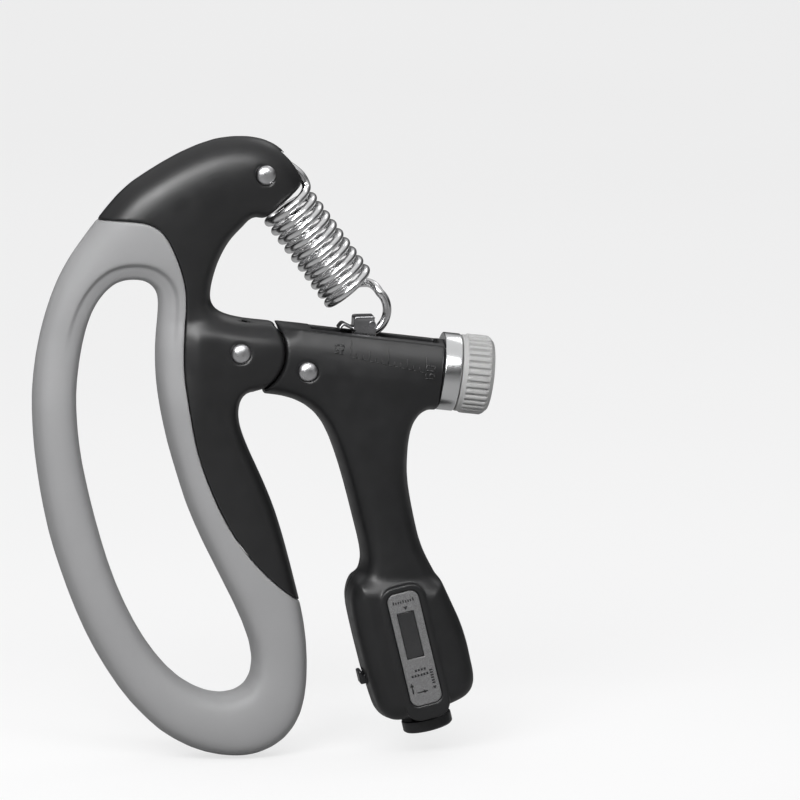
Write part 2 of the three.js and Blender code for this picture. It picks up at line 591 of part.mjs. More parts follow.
// ---------------------------------------------------------------- finishes
const FINISH = {
  frame: { color: 0x1c1c1d, roughness: 0.45, metalness: 0 },
  black: { color: 0x1c1c1d, roughness: 0.5, metalness: 0 },
  sleeve: { color: 0x8f9093, roughness: 0.55, metalness: 0 },
  rivet: { color: 0xc9cacc, roughness: 0.25, metalness: 1 },
  shellScrew: { color: 0x55565a, roughness: 0.35, metalness: 1 },
  plate: { color: 0x8a8c90, roughness: 0.4, metalness: 1 },
  ring: { color: 0xdedfe0, roughness: 0.08, metalness: 1 },
  knob: { color: 0xb9babb, roughness: 0.6, metalness: 0 },
  screw: { color: 0x9a9b9e, roughness: 0.35, metalness: 1 },
  clip: { color: 0x6d6e72, roughness: 0.4, metalness: 1 },
  brass: { color: 0xb08d4a, roughness: 0.4, metalness: 1 },
  bracket: { color: 0xc2c3c5, roughness: 0.25, metalness: 1 },
  pin: { color: 0xb4b5b8, roughness: 0.25, metalness: 1 },
  spring: { color: 0xd8d9da, roughness: 0.12, metalness: 1 },
  label: { color: 0x7e7f82, roughness: 0.5, metalness: 0.3 },
  window: { color: 0x2c2d2f, roughness: 0.1, metalness: 0 },
  counter: { color: 0xc8c8c6, roughness: 0.5, metalness: 0 },
  wheel: { color: 0xe8e8e6, roughness: 0.5, metalness: 0 },
  shaft: { color: 0xa9aaad, roughness: 0.3, metalness: 1 },
  triggerSpring: { color: 0xb9babc, roughness: 0.3, metalness: 1 },
};

// ---------------------------------------------------------------- assembly
const group = new THREE.Group();

// adds a flat-shaded mesh, moved so that the overall box centre is the origin
function addPart(name, solid, finish) {
  const { vertProperties, triVerts } = solid.getMesh();
  const indexed = new THREE.BufferGeometry();
  indexed.setAttribute('position', new THREE.BufferAttribute(new Float32Array(vertProperties), 3));
  indexed.setIndex(new THREE.BufferAttribute(new Uint32Array(triVerts), 1));
  indexed.translate(...BOX_CENTRE.map((value) => -value));
  const flat = indexed.toNonIndexed();
  flat.computeVertexNormals();
  const mesh = new THREE.Mesh(flat, new THREE.MeshStandardMaterial(finish));
  mesh.name = name;
  group.add(mesh);
}
function addRivet(name, centre, half) {
  addPart(name, rivetPost(centre, half), FINISH.rivet);
  addPart(`${name}_cap`, rivetCap(centre, half), FINISH.rivet);
}

addPart('front_frame', frontFrame(), FINISH.frame);
addPart('grip_sleeve', gripSleeve(), FINISH.sleeve);
addRivet('pivot_rivet', PIVOT, LEVER_HALF);
addRivet('spring_rivet', SPRING_PIN, LEVER_HALF);

const [nearShell, farShell] = rearShells();
addPart('rear_shell_near', nearShell, FINISH.black);
addPart('rear_shell_far', farShell, FINISH.black);
addRivet('handle_rivet', HANDLE_RIVET, REAR_HALF);
SHELL_SCREWS.forEach((centre, i) => {
  addPart(`shell_screw_${i + 1}`, shellScrew(centre), FINISH.shellScrew);
});
addPart('hinge_plate', hingePlate(), FINISH.plate);
addPart('end_ring', endRing(), FINISH.ring);

addPart('adjuster_knob', adjusterKnob(), FINISH.knob);
addPart('adjuster_screw', adjusterScrew(), FINISH.screw);
addPart('retaining_clip', retainingClip(), FINISH.clip);
addPart('carriage_nut', carriageNut(), FINISH.brass);
addPart('hook_bracket', hookBracket(), FINISH.bracket);
addPart('bracket_pin', roundBar(BRACKET_PIN, BRACKET_PIN_R, -3.85, 3.85), FINISH.pin);
addPart('tension_spring', tensionSpring(), FINISH.spring);

addPart('label_plate', labelPlate(), FINISH.label);
addPart('counter_window', counterWindow(), FINISH.window);
addPart('counter_frame', counterFrame(), FINISH.counter);
['units', 'tens', 'hundreds', 'thousands'].forEach((name, place) => {
  addPart(`wheel_${name}`, counterWheel(place), FINISH.wheel);
});
addPart('counter_shaft', housing.turned(barProfile(1.5, -0.9, 34.2), 20), FINISH.shaft);
addPart('reset_knob', resetKnob(), FINISH.black);
addPart('trigger_button', triggerButton(), FINISH.black);
addPart('trigger_spring', triggerSpring(), FINISH.triggerSpring);

export default group;
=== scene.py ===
"""Looks of a hand grip strengthener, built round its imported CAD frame.

Shapes are laid out in millimetres from the main pivot. The front lever hangs on the -X
side, the rear handle and its beam with the adjuster knob lie towards +X, the spring pin
is above the pivot (+Z) and the near face looks along -Y. Meshes are stored in metres
from the middle of the overall box. Solids are fields sampled on a grid, positive inside.
"""
import math
from itertools import product
import bpy
import numpy as np
from mathutils import Matrix, Vector


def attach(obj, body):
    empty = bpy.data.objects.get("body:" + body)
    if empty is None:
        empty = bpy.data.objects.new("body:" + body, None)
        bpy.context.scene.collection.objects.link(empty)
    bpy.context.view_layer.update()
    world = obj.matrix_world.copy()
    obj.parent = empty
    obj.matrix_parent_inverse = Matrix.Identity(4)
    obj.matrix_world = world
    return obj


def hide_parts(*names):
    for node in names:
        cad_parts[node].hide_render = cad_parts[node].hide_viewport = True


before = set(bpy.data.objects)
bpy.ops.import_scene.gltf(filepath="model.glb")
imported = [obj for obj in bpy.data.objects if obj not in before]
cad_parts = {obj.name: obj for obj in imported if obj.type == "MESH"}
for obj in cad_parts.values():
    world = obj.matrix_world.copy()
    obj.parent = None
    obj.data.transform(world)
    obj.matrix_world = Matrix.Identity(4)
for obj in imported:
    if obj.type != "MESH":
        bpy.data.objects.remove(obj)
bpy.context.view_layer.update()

# ------------------------------------------------------------------ outlines, (x, z)
# outer edge of the front lever, sleeve included
LEVER_OUTER = [
    (-35.56, 38.93), (-32.3, 42.67), (-28.77, 45.85), (-24.7, 48.49), (-20.36, 51.11),
    (-15.47, 53.73), (-10.59, 55.8), (-5.7, 57.33), (-1.36, 57.84), (2.99, 57.8),
    (6.79, 57.07), (10.04, 55.65), (12.76, 53.55), (15.2, 50.92), (17.1, 47.89),
    (18.46, 44.6), (18.73, 41.06), (17.64, 37.55), (15.2, 34.88), (11.94, 33.46),
    (8.96, 33.52), (6.79, 34.92), (4.89, 36.05), (3.26, 35.4), (1.63, 33.67),
    (-0.27, 31.81), (-1.9, 30.07), (-3.26, 28.06), (-4.48, 25.78), (-5.56, 23.35),
    (-6.43, 20.65), (-7.11, 17.95), (-7.47, 15.51), (-7.41, 13.61), (-6.65, 11.96),
    (-5.43, 10.85), (-3.53, 9.91), (-0.81, 9.12), (2.99, 8.45), (6.79, 8.01),
    (10.59, 7.53), (14.12, 6.37), (16.83, 4.13), (18.46, 1.11), (18.87, -2.16),
    (18.19, -5.41), (16.29, -8.36), (13.57, -10.47), (10.32, -11.49), (6.79, -11.56),
    (3.53, -11.35), (2.04, -11.73), (0.95, -12.93), (0.27, -14.68), (0, -16.72),
    (0.14, -18.89), (0.68, -21.35), (1.76, -24.36), (3.26, -27.93), (5.02, -31.77),
    (6.79, -35.75), (8.55, -40), (10.04, -44.11), (11.4, -48.48), (12.62, -52.86),
    (13.84, -57.5), (15.2, -62.97), (16.56, -68.43), (17.64, -73.89), (18.32, -79.34),
    (18.59, -84.78), (18.46, -90.21), (17.92, -94.82), (16.83, -99.15), (14.93, -102.92),
    (12.22, -106.12), (8.96, -108.36), (5.16, -109.92), (1.9, -110.53), (-1.36, -110.6),
    (-5.16, -110.24), (-9.23, -109.34), (-13.3, -107.9), (-17.64, -105.64), (-21.45, -103.11),
    (-25.25, -99.63), (-29.05, -95.61), (-32.58, -91.06), (-35.83, -86.1), (-38.82, -81.01),
    (-41.53, -75.65), (-43.98, -70.03), (-46.15, -64.41), (-48.05, -58.93), (-49.81, -53.46),
    (-51.31, -47.99), (-52.53, -42.26), (-53.48, -37.08), (-54.29, -31.62), (-54.97, -26.17),
    (-55.38, -20.73), (-55.59, -15.29), (-55.57, -10.4), (-55.19, -5.51), (-54.56, -0.63),
    (-53.75, 3.7), (-52.8, 7.76), (-51.71, 11.54), (-50.36, 15.59), (-48.73, 19.63),
    (-46.83, 23.4), (-44.52, 27.15), (-41.8, 30.9), (-38.55, 35.18),
]
# long opening in the front lever
LEVER_HOLE = [
    (-27.69, 19.6), (-25.25, 19.28), (-23.35, 18.15), (-21.99, 16.49), (-21.45, 14.44),
    (-21.45, 11.73), (-21.72, 8.47), (-22.04, 5.22), (-22.26, 1.14), (-22.26, -2.93),
    (-22.04, -7.29), (-21.58, -11.37), (-20.9, -15.74), (-20.09, -19.83), (-19, -24.75),
    (-17.64, -29.67), (-16.02, -35.14), (-14.12, -41.16), (-11.94, -46.64), (-9.5, -52.12),
    (-6.79, -57.62), (-4.07, -63.11), (-1.36, -68.6), (1.09, -74.09), (2.99, -79.56),
    (3.8, -84.47), (3.26, -88.54), (1.63, -91.5), (-1.09, -93.07), (-4.61, -93.54),
    (-8.42, -92.92), (-12.22, -91.34), (-16.02, -88.95), (-19.55, -85.75), (-22.8, -81.88),
    (-25.79, -77.61), (-28.5, -72.93), (-31.08, -67.71), (-33.39, -62.23), (-35.43, -56.48),
    (-37.19, -50.73), (-38.82, -44.72), (-40.18, -39.26), (-41.26, -34.34), (-42.21, -29.7),
    (-42.94, -24.79), (-43.43, -19.89), (-43.7, -14.99), (-43.7, -10.64), (-43.35, -6.3),
    (-42.75, -1.69), (-41.94, 2.64), (-40.85, 6.97), (-39.5, 10.74), (-37.73, 13.97),
    (-35.56, 16.64), (-33.12, 18.63), (-30.4, 19.52),
]
# open line between the black frame and the rubber sleeve
SEAM = [
    (-48.05, 36.61), (-42.62, 36.36), (-38.55, 35.86), (-35.29, 36.2), (-31.76, 36.13),
    (-27.69, 35.91), (-24.97, 35.45), (-22.8, 34.45), (-20.9, 32.92), (-19.41, 30.71),
    (-17.92, 27.69), (-16.56, 24.26), (-15.47, 20.84), (-14.71, 17.57), (-14.47, 14.57),
    (-14.6, 10.77), (-15.01, 6.43), (-15.31, 2.09), (-15.39, -2.26), (-15.2, -6.61),
    (-14.66, -10.97), (-13.98, -15.34), (-13.17, -20.25), (-12.08, -25.71), (-10.59, -31.17),
    (-8.69, -36.65), (-6.52, -41.86), (-4.07, -46.8), (-1.09, -51.76), (2.44, -56.45),
    (6.52, -60.88), (11.13, -65.06), (16.02, -68.69), (21.99, -72.08), (27.96, -74.92),
]
# rear handle with its beam
REAR = [
    (0.81, 8.54), (6.79, 8.15), (11.67, 7.56), (17.1, 6.77), (25.25, 5.67),
    (34.75, 4.44), (44.25, 3.24), (52.39, 2.17), (58.36, 1.1), (62.16, -1.7),
    (63.79, -5.81), (63.52, -10.43), (61.35, -14.19), (57.82, -16.15), (54.02, -16.62),
    (51.31, -17.1), (49.13, -18.28), (47.64, -20.29), (46.69, -22.85), (46.15, -26.1),
    (45.88, -29.63), (45.8, -33.43), (46.09, -37.24), (46.69, -41.06), (47.37, -44.61),
    (48.05, -47.89), (48.86, -51.44), (49.95, -54.72), (51.31, -57.74), (52.8, -60.49),
    (54.29, -63.51), (55.92, -67.08), (57.55, -70.64), (59.18, -74.21), (60.4, -77.5),
    (61.35, -80.78), (62.25, -84.87), (62.98, -87.88), (63.25, -90.6), (62.57, -93.03),
    (60.81, -94.9), (58.09, -96.2), (54.83, -97.49), (51.03, -98.77), (46.96, -100.05),
    (43.7, -100.93), (40.99, -100.88), (38.82, -99.74), (37.46, -97.95), (36.51, -95.21),
    (35.43, -91.65), (34.2, -87.82), (33.12, -83.45), (32.03, -79.08), (30.95, -74.44),
    (30.13, -70.62), (29.86, -67.62), (30.4, -64.91), (31.62, -62.49), (32.85, -60.07),
    (33.39, -57.37), (33.12, -54.64), (32.44, -51.37), (31.62, -48.09), (30.81, -44.81),
    (29.86, -40.98), (28.77, -36.75), (27.55, -32.37), (26.2, -28.13), (24.7, -24.02),
    (22.94, -20.32), (20.63, -17.28), (17.92, -15.05), (14.79, -13.49), (11.4, -12.52),
    (7.6, -11.98), (3.53, -11.63), (0.27, -9.93), (-1.63, -6.63), (-2.31, -1.72),
    (-1.9, 3.17),
]


# ------------------------------------------------------------------ places and axes
def point(x, z, y=0.0):
    return np.array([x, y, z], float)


class Tilted:
    """Axes u and v in the XZ plane, u turned from +X towards +Z."""

    def __init__(self, x, z, degrees):
        angle = math.radians(degrees)
        self.origin = point(x, z)
        self.u = point(math.cos(angle), math.sin(angle))
        self.v = point(-math.sin(angle), math.cos(angle))

    def at(self, u, v, y=0.0):
        place = self.origin + self.u * u + self.v * v
        place[1] = y
        return place

    def flat(self, u, v):
        return self.at(u, v)[[0, 2]]

    def coords(self, x, z):
        dx, dz = x - self.origin[0], z - self.origin[2]
        return dx * self.u[0] + dz * self.u[2], dx * self.v[0] + dz * self.v[2]


BOX_CENTRE = np.array([6.975, -0.25, -26.38])
Y_AXIS = np.array([0.0, 1.0, 0.0])
BEAM = Tilted(54.64, -6.76, -7.16)        # from the beam's end; u towards the knob
COUNTER = Tilted(51.17, -101.22, 13.39)   # from the reset knob; v up the counter's axis
PIN = np.array([7.0, 47.95])              # upper spring pin
HANDLE_RIVET = np.array([18.0, -5.15])
BRACKET_PIN = np.array([36.2, 6.5])
SCREWS = [(37.0, -19.5), (41.6, -55.5), COUNTER.flat(10.9, 12.5)]
RIVET_SHANK = 1.85
CHEEKS = (-2.3, 2.3)                      # y of the bracket's cheeks and the nut's slots
LABEL_U, LABEL_V = (0.2 - 4.3, 0.2 + 4.3), (21.1 - 15.7, 21.1 + 15.7)
WINDOW_HOLE = ((-2.35, 2.35), (18.45, 31.35))   # counter u and v spans


def to_frame(places):
    """Millimetres from the pivot to the frame's metres."""
    return (np.asarray(places, float) - BOX_CENTRE) / 1000.0


# ------------------------------------------------------------------ lines
def resample(line, count, endpoint=True):
    """Evenly spaced points along a line, and the line's length."""
    run = np.linalg.norm(np.diff(line, axis=0), axis=1)
    run = np.concatenate([[0], np.cumsum(run)])
    stops = np.linspace(0, run[-1], count, endpoint=endpoint)
    columns = [np.interp(stops, run, column) for column in line.T]
    return np.stack(columns, 1), run[-1]


def smooth_loop(outline, count, sigma):
    """Closed outline resampled to count points and softened over sigma mm."""
    outline = np.asarray(outline, float)
    fine = count * 4
    line, length = resample(np.vstack([outline, outline[:1]]), fine, endpoint=False)
    gain = np.exp(-2 * (np.pi * np.fft.fftfreq(fine, length / fine) * sigma) ** 2)
    soft = [np.real(np.fft.ifft(np.fft.fft(column) * gain)) for column in line.T]
    return np.stack(soft, 1)[::4]


def smooth_open(line, count, sigma):
    """Open line resampled to count points and softened, ends kept."""
    line, length = resample(np.asarray(line, float), count)
    step = length / count
    reach = int(3 * sigma / step)
    weights = np.exp(-0.5 * (np.arange(-reach, reach + 1) * step / sigma) ** 2)
    weights /= weights.sum()
    before = 2 * line[0] - line[reach:0:-1]
    after = 2 * line[-1] - line[-2:-reach - 2:-1]
    padded = np.vstack([before, line, after])
    return np.stack([np.convolve(column, weights, "valid") for column in padded.T], 1)


def spline(controls, count):
    """Even points along a smooth curve through the control points."""
    c = np.asarray(controls, float)
    c = np.vstack([2 * c[0] - c[1], c, 2 * c[-1] - c[-2]])
    curve = []
    for p0, p1, p2, p3 in zip(c, c[1:], c[2:], c[3:]):
        for t in np.linspace(0, 1, 24, endpoint=False):
            curve.append(0.5 * ((2 * p1) + (p2 - p0) * t
                                + (2 * p0 - 5 * p1 + 4 * p2 - p3) * t * t
                                + (3 * p1 - p0 - 3 * p2 + p3) * t ** 3))
    curve.append(c[-2])
    return resample(np.array(curve), count)[0]


def arc(x, z, radius, start, end, count):
    angles = np.radians(np.linspace(start, end, count))
    return [(x + radius * math.cos(a), z + radius * math.sin(a)) for a in angles]


def bar(u0, v0, u1, v1, width):
    """Corners of a straight stroke."""
    run = np.array([u1 - u0, v1 - v0], float)
    n = np.array([-run[1], run[0]]) / np.linalg.norm(run) * width / 2
    return [(u0 + n[0], v0 + n[1]), (u1 + n[0], v1 + n[1]),
            (u1 - n[0], v1 - n[1]), (u0 - n[0], v0 - n[1])]


# ------------------------------------------------------------------ fields
class Grid:
    def __init__(self, low, high, step):
        self.low = np.array(low, float)
        self.step = step
        counts = np.ceil((np.array(high, float) - self.low) / step).astype(int) + 1
        axes = [self.low[i] + step * np.arange(counts[i]) for i in range(3)]
        self.x = axes[0][:, None, None].astype(np.float32)
        self.y = axes[1][None, :, None].astype(np.float32)
        self.z = axes[2][None, None, :].astype(np.float32)
        self.flat_x, self.flat_z = np.meshgrid(axes[0], axes[2], indexing="ij")


def line_distance(grid, line):
    """Distance from each XZ grid point to an open line."""
    best = np.full(grid.flat_x.shape, 1e9)
    for (x0, z0), (x1, z1) in zip(line[:-1], line[1:]):
        dx, dz = x1 - x0, z1 - z0
        squared = dx * dx + dz * dz + 1e-12
        t = np.clip(((grid.flat_x - x0) * dx + (grid.flat_z - z0) * dz) / squared, 0, 1)
        gap = (grid.flat_x - x0 - t * dx) ** 2 + (grid.flat_z - z0 - t * dz) ** 2
        np.minimum(best, gap, out=best)
    return np.sqrt(best)


def inside(grid, outline):
    x, z = grid.flat_x, grid.flat_z
    result = np.zeros(x.shape, bool)
    for (x0, z0), (x1, z1) in zip(outline, np.roll(outline, -1, axis=0)):
        if z0 == z1:
            continue
        spans = (z0 > z) != (z1 > z)
        result ^= spans & (x < (x1 - x0) * (z - z0) / (z1 - z0) + x0)
    return result


def signed(grid, outline):
    """Distance to a closed outline, positive inside."""
    outline = np.asarray(outline, float)
    gap = line_distance(grid, np.vstack([outline, outline[:1]]))
    return np.where(inside(grid, outline), gap, -gap)


def blur(a):
    b = a.copy()
    b[1:-1] = (a[:-2] + 2 * a[1:-1] + a[2:]) / 4
    c = b.copy()
    c[:, 1:-1] = (b[:, :-2] + 2 * b[:, 1:-1] + b[:, 2:]) / 4
    return c


def ramp(x, low, high):
    t = np.clip((x - low) / (high - low), 0, 1)
    return t * t * (3 - 2 * t)


def inflate(distance, step):
    """Height with Laplacian -4 where distance > 0 and 0 on its edge, carried on outside."""
    rows, columns = np.nonzero(distance > 0)
    window = (slice(rows.min() - 1, rows.max() + 2),
              slice(columns.min() - 1, columns.max() + 2))
    near = distance[window]
    solid_part = near > 0
    weight = np.zeros(near.shape)
    for axis, shift in ((0, 1), (0, -1), (1, 1), (1, -1)):
        beside = np.roll(near, shift, axis)
        share = np.clip(near / np.maximum(near - beside, 1e-6), 0.15, 1.0)
        weight += np.where(beside > 0, 1.0, 1.0 / share)
    u = np.where(solid_part, near * 10.0, 0.0)
    parity = np.indices(near.shape).sum(0) % 2
    halves = [solid_part & (parity == k) for k in (0, 1)]
    relaxation = 1.92
    for _ in range(260):
        for half in halves:
            total = np.zeros(near.shape)
            total[1:] += u[:-1]
            total[:-1] += u[1:]
            total[:, 1:] += u[:, :-1]
            total[:, :-1] += u[:, 1:]
            target = (total + 4 * step * step) / weight
            u[half] += relaxation * (target[half] - u[half])
    height = np.zeros(distance.shape)
    height[window] = u
    # slope next to the edge, spread across the edge
    band = ((distance > 1.3) & (distance < 2.6)).astype(float)
    slope = np.where(distance > 1.3, height / np.maximum(distance, 1.3), 0.0) * band
    for i in range(14):
        slope, band = blur(slope), blur(band)
        if i == 6:
            reached = band > 1e-6
            slope = np.where(reached, slope / np.maximum(band, 1e-6), 0)
            band = reached.astype(float)
    slope = np.where(band > 1e-9, slope / np.maximum(band, 1e-9), 0)
    far = slope <= 0
    slope[far] = np.median(slope[~far])
    deep = ramp(distance, 0.9, 2.5)
    return height * deep + slope * distance * (1 - deep)


def extrude(flat):
    return np.asarray(flat, np.float32)[:, None, :]


def meet(a, b, edge):
    """Intersection of two solids, the shared edge rounded over about edge mm."""
    near = np.maximum(edge - np.abs(a - b), 0.0) / edge
    return np.minimum(a, b) - near * near * edge * 0.25


def unite(a, b, edge):
    return -meet(-a, -b, edge)


def cut(field, tool, edge):
    return meet(field, -tool, edge)


def rect(u, v, u_span, v_span, radius=0.0):
    """Rectangle field with rounded corners."""
    (u0, u1), (v0, v1) = u_span, v_span
    du = np.abs(u - (u0 + u1) / 2) - (u1 - u0) / 2 + radius
    dv = np.abs(v - (v0 + v1) / 2) - (v1 - v0) / 2 + radius
    corner = np.sqrt(np.maximum(du, 0) ** 2 + np.maximum(dv, 0) ** 2)
    return radius - (corner + np.minimum(np.maximum(du, dv), 0))


def slab(grid, flat, half, radius):
    """Extruded outline with rounded edges."""
    a = extrude(flat) - radius
    b = half - np.abs(grid.y) - radius
    corner = np.sqrt(np.minimum(a, 0) ** 2 + np.minimum(b, 0) ** 2)
    return np.maximum(np.minimum(a, b), 0) + radius - corner


def limit(squared, half, power):
    """Squared half thickness, flattened towards half."""
    g = np.maximum(squared, 0.0)
    flat = g / (1 + (g / half ** 2) ** (power / 2)) ** (2 / power)
    return np.where(squared > 0, flat, squared)


def thicken(grid, squared):
    """Solid about y = 0 from its squared half thickness, as a distance-like field."""
    gx, gz = np.gradient(squared, grid.step)
    slope2 = (gx ** 2 + gz ** 2).astype(np.float32)[:, None, :]
    y = grid.y
    return (extrude(squared) - y * y) / np.sqrt(slope2 + 4 * y * y + 0.05)


def value_at(grid, flat, x, z):
    """Value of an XZ field at one place."""
    i = (x - grid.low[0]) / grid.step
    k = (z - grid.low[2]) / grid.step
    i0, k0 = np.floor(i).astype(int), np.floor(k).astype(int)
    fi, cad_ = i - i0, k - k0
    return (flat[i0, k0] * (1 - fi) * (1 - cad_) + flat[i0 + 1, k0] * fi * (1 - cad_)
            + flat[i0, k0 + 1] * (1 - fi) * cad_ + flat[i0 + 1, k0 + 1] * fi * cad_)


# ------------------------------------------------------------------ fields to meshes
def surface_net(field, grid):
    """Vertices and outward quads of field = 0."""
    filled = field > 0
    shape = field.shape
    count = np.zeros(tuple(s - 1 for s in shape), np.uint8)
    for i, j, k in product((0, 1), repeat=3):
        count += filled[i:shape[0] - 1 + i, j:shape[1] - 1 + j, k:shape[2] - 1 + k]
    active = (count > 0) & (count < 8)
    cells = np.argwhere(active)
    corner = {(i, j, k): field[cells[:, 0] + i, cells[:, 1] + j, cells[:, 2] + k].astype(float)
              for i, j, k in product((0, 1), repeat=3)}
    total = np.zeros((len(cells), 3))
    crossings = np.zeros(len(cells))
    for axis, p, q in product((0, 1, 2), (0, 1), (0, 1)):
        start, end = [p, q], [p, q]
        start.insert(axis, 0)
        end.insert(axis, 1)
        f0, f1 = corner[tuple(start)], corner[tuple(end)]
        crosses = (f0 > 0) != (f1 > 0)
        spot = np.zeros((len(cells), 3))
        spot[:] = start
        spot[:, axis] = np.where(crosses, f0 / np.where(crosses, f0 - f1, 1), 0)
        total += spot * crosses[:, None]
        crossings += crosses
    vertices = (cells + total / crossings[:, None]) * grid.step + grid.low
    ids = np.full(active.shape, -1, np.int64)
    ids[active] = np.arange(len(cells))
    quads = []
    for a in range(3):
        b, c = (a + 1) % 3, (a + 2) % 3
        below, above = [slice(None)] * 3, [slice(None)] * 3
        below[a] = slice(0, -1)
        above[a] = slice(1, None)
        first = filled[tuple(below)]
        e = np.argwhere(first != filled[tuple(above)])
        e = e[(e[:, b] > 0) & (e[:, c] > 0) & (e[:, b] < shape[b] - 1) & (e[:, c] < shape[c] - 1)]
        around = []
        for shift_b, shift_c in ((0, 0), (-1, 0), (-1, -1), (0, -1)):
            cell = e.copy()
            cell[:, b] += shift_b
            cell[:, c] += shift_c
            around.append(ids[tuple(cell.T)])
        quad = np.stack(around, 1)
        flip = ~first[tuple(e.T)]
        quad[flip] = quad[flip][:, ::-1]
        quads.append(quad)
    return vertices, np.vstack(quads)


def sample(field, grid, places):
    g = np.clip((places - grid.low) / grid.step, 0.001, np.array(field.shape) - 1.002)
    i = g.astype(int)
    f = g - i
    total = 0
    for corner in product((0, 1), repeat=3):
        wx, wy, wz = (f[:, n] if corner[n] else 1 - f[:, n] for n in range(3))
        x, y, z = (i[:, n] + corner[n] for n in range(3))
        total = total + wx * wy * wz * field[x, y, z]
    return total


def solid(field, grid):
    """Mesh of a field: pulled onto its surface, evened out and pulled again."""
    vertices, quads = surface_net(field, grid)
    reach = grid.step * 0.5

    def pull(v):
        shifts = np.eye(3) * reach
        slope = np.stack([sample(field, grid, v + s) - sample(field, grid, v - s)
                          for s in shifts], 1) / (2 * reach)
        steep = np.maximum((slope ** 2).sum(1), 0.05)
        move = -slope * (sample(field, grid, v) / steep)[:, None]
        length = np.linalg.norm(move, axis=1)
        return v + move * np.minimum(1, 0.5 * grid.step / np.maximum(length, 1e-9))[:, None]

    v = pull(vertices)
    start, end = np.vstack([quads[:, [i, (i + 1) % 4]] for i in range(4)]).T
    n = len(v)
    total = np.stack([np.bincount(start, v[end, k], n) + np.bincount(end, v[start, k], n)
                      for k in range(3)], 1)
    count = np.bincount(start, minlength=n) + np.bincount(end, minlength=n)
    v = v * 0.5 + 0.5 * total / np.maximum(count, 1)[:, None]
    return pull(v), [quads]


# ------------------------------------------------------------------ direct meshes
# A mesh is (vertices, list of face arrays).
def outward(v, faces):
    """The mesh with its faces turned outwards."""
    volume = 0.0
    for f in faces:
        for k in range(1, f.shape[1] - 1):
            a, b, c = v[f[:, 0]], v[f[:, k]], v[f[:, k + 1]]
            volume += np.einsum("ij,ij->i", a, np.cross(b, c)).sum()
    if volume < 0:
        faces = [f[:, ::-1] for f in faces]
    return v, faces


def join(parts):
    vertices, faces, offset = [], {}, 0
    for v, groups in parts:
        vertices.append(v)
        for f in groups:
            faces.setdefault(f.shape[1], []).append(f + offset)
        offset += len(v)
    return np.vstack(vertices), [np.vstack(f) for f in faces.values()]


def capped(rings, start, end):
    """Skin over equal rings of points, closed by a fan round start and end."""
    rings = np.asarray(rings)
    m, n = rings.shape[:2]
    ids = np.arange(m * n).reshape(m, n)
    after = np.roll(ids, -1, axis=1)
    quads = np.stack([ids[:-1], after[:-1], after[1:], ids[1:]], -1).reshape(-1, 4)
    fans = np.vstack([np.stack([np.full(n, m * n), after[0], ids[0]], 1),
                      np.stack([np.full(n, m * n + 1), ids[-1], after[-1]], 1)])
    return outward(np.vstack([rings.reshape(-1, 3), start, end]), [quads, fans])


def fillet(profile, radius, steps):
    """Open profile with its inner corners rounded by up to radius."""
    p = np.asarray(profile, float)
    out = [p[0]]
    for a, b, c in zip(p, p[1:], p[2:]):
        length_a, length_c = np.linalg.norm(a - b), np.linalg.norm(c - b)
        to_a, to_c = (a - b) / length_a, (c - b) / length_c
        angle = math.acos(max(-1, min(1, float(to_a @ to_c))))
        if angle > math.pi - 0.05:
            out.append(b)
            continue
        t = min(radius / math.tan(angle / 2), 0.48 * length_a, 0.48 * length_c)
        start, end = b + to_a * t, b + to_c * t
        for k in range(steps + 1):
            f = k / steps
            out.append((1 - f) ** 2 * start + 2 * f * (1 - f) * b + f * f * end)
    out.append(p[-1])
    return np.array(out)


def subdivide(profile, step, min_radius=-1.0):
    """Profile with extra points on the stretches that stay beyond min_radius."""
    out = [profile[0]]
    for a, b in zip(profile[:-1], profile[1:]):
        count = 1
        if min(a[0], b[0]) > min_radius:
            count = max(1, int(np.linalg.norm(b - a) / step))
        out += [a * (1 - t) + b * t for t in np.linspace(0, 1, count + 1)[1:]]
    return np.array(out)


def mirrored(profile):
    """Profile carried on past height 0 as its mirror image."""
    profile = np.asarray(profile, float)
    return np.vstack([profile, (profile[::-1] * [1, -1])[1:]])


def lathe(profile, origin, axis, side, count, radial=None):
    """Turned solid from rows (radius, height).

    Ends at radius 0 close on the axis, otherwise the profile is a loop. radial gives
    the radii round one ring from its radius, height and angles.
    """
    profile = np.asarray(profile, float)
    other = np.cross(axis, side)
    angles = 2 * np.pi * np.arange(count) / count
    loop = profile[0, 0] > 1e-6 or profile[-1, 0] > 1e-6
    v, rings = [], []
    for r, h in profile:
        if r < 1e-6:
            rings.append([len(v)] * count)
            v.append(origin + axis * h)
            continue
        radii = radial(r, h, angles) if radial else r
        rings.append(list(range(len(v), len(v) + count)))
        v.extend(origin + axis * h + (np.outer(radii * np.cos(angles), side)
                                      + np.outer(radii * np.sin(angles), other)))
    faces = {4: [], 3: []}
    for k in range(len(rings) if loop else len(rings) - 1):
        r0, r1 = rings[k], rings[(k + 1) % len(rings)]
        for i in range(count):
            j = (i + 1) % count
            face = list(dict.fromkeys([r0[i], r0[j], r1[j], r1[i]]))
            faces[len(face)].append(face)
    return outward(np.array(v), [np.array(f, int).reshape(-1, n) for n, f in faces.items()])


def lathe_y(profile, x, z, count):
    return lathe(profile, point(x, z), -Y_AXIS, point(1, 0), count)


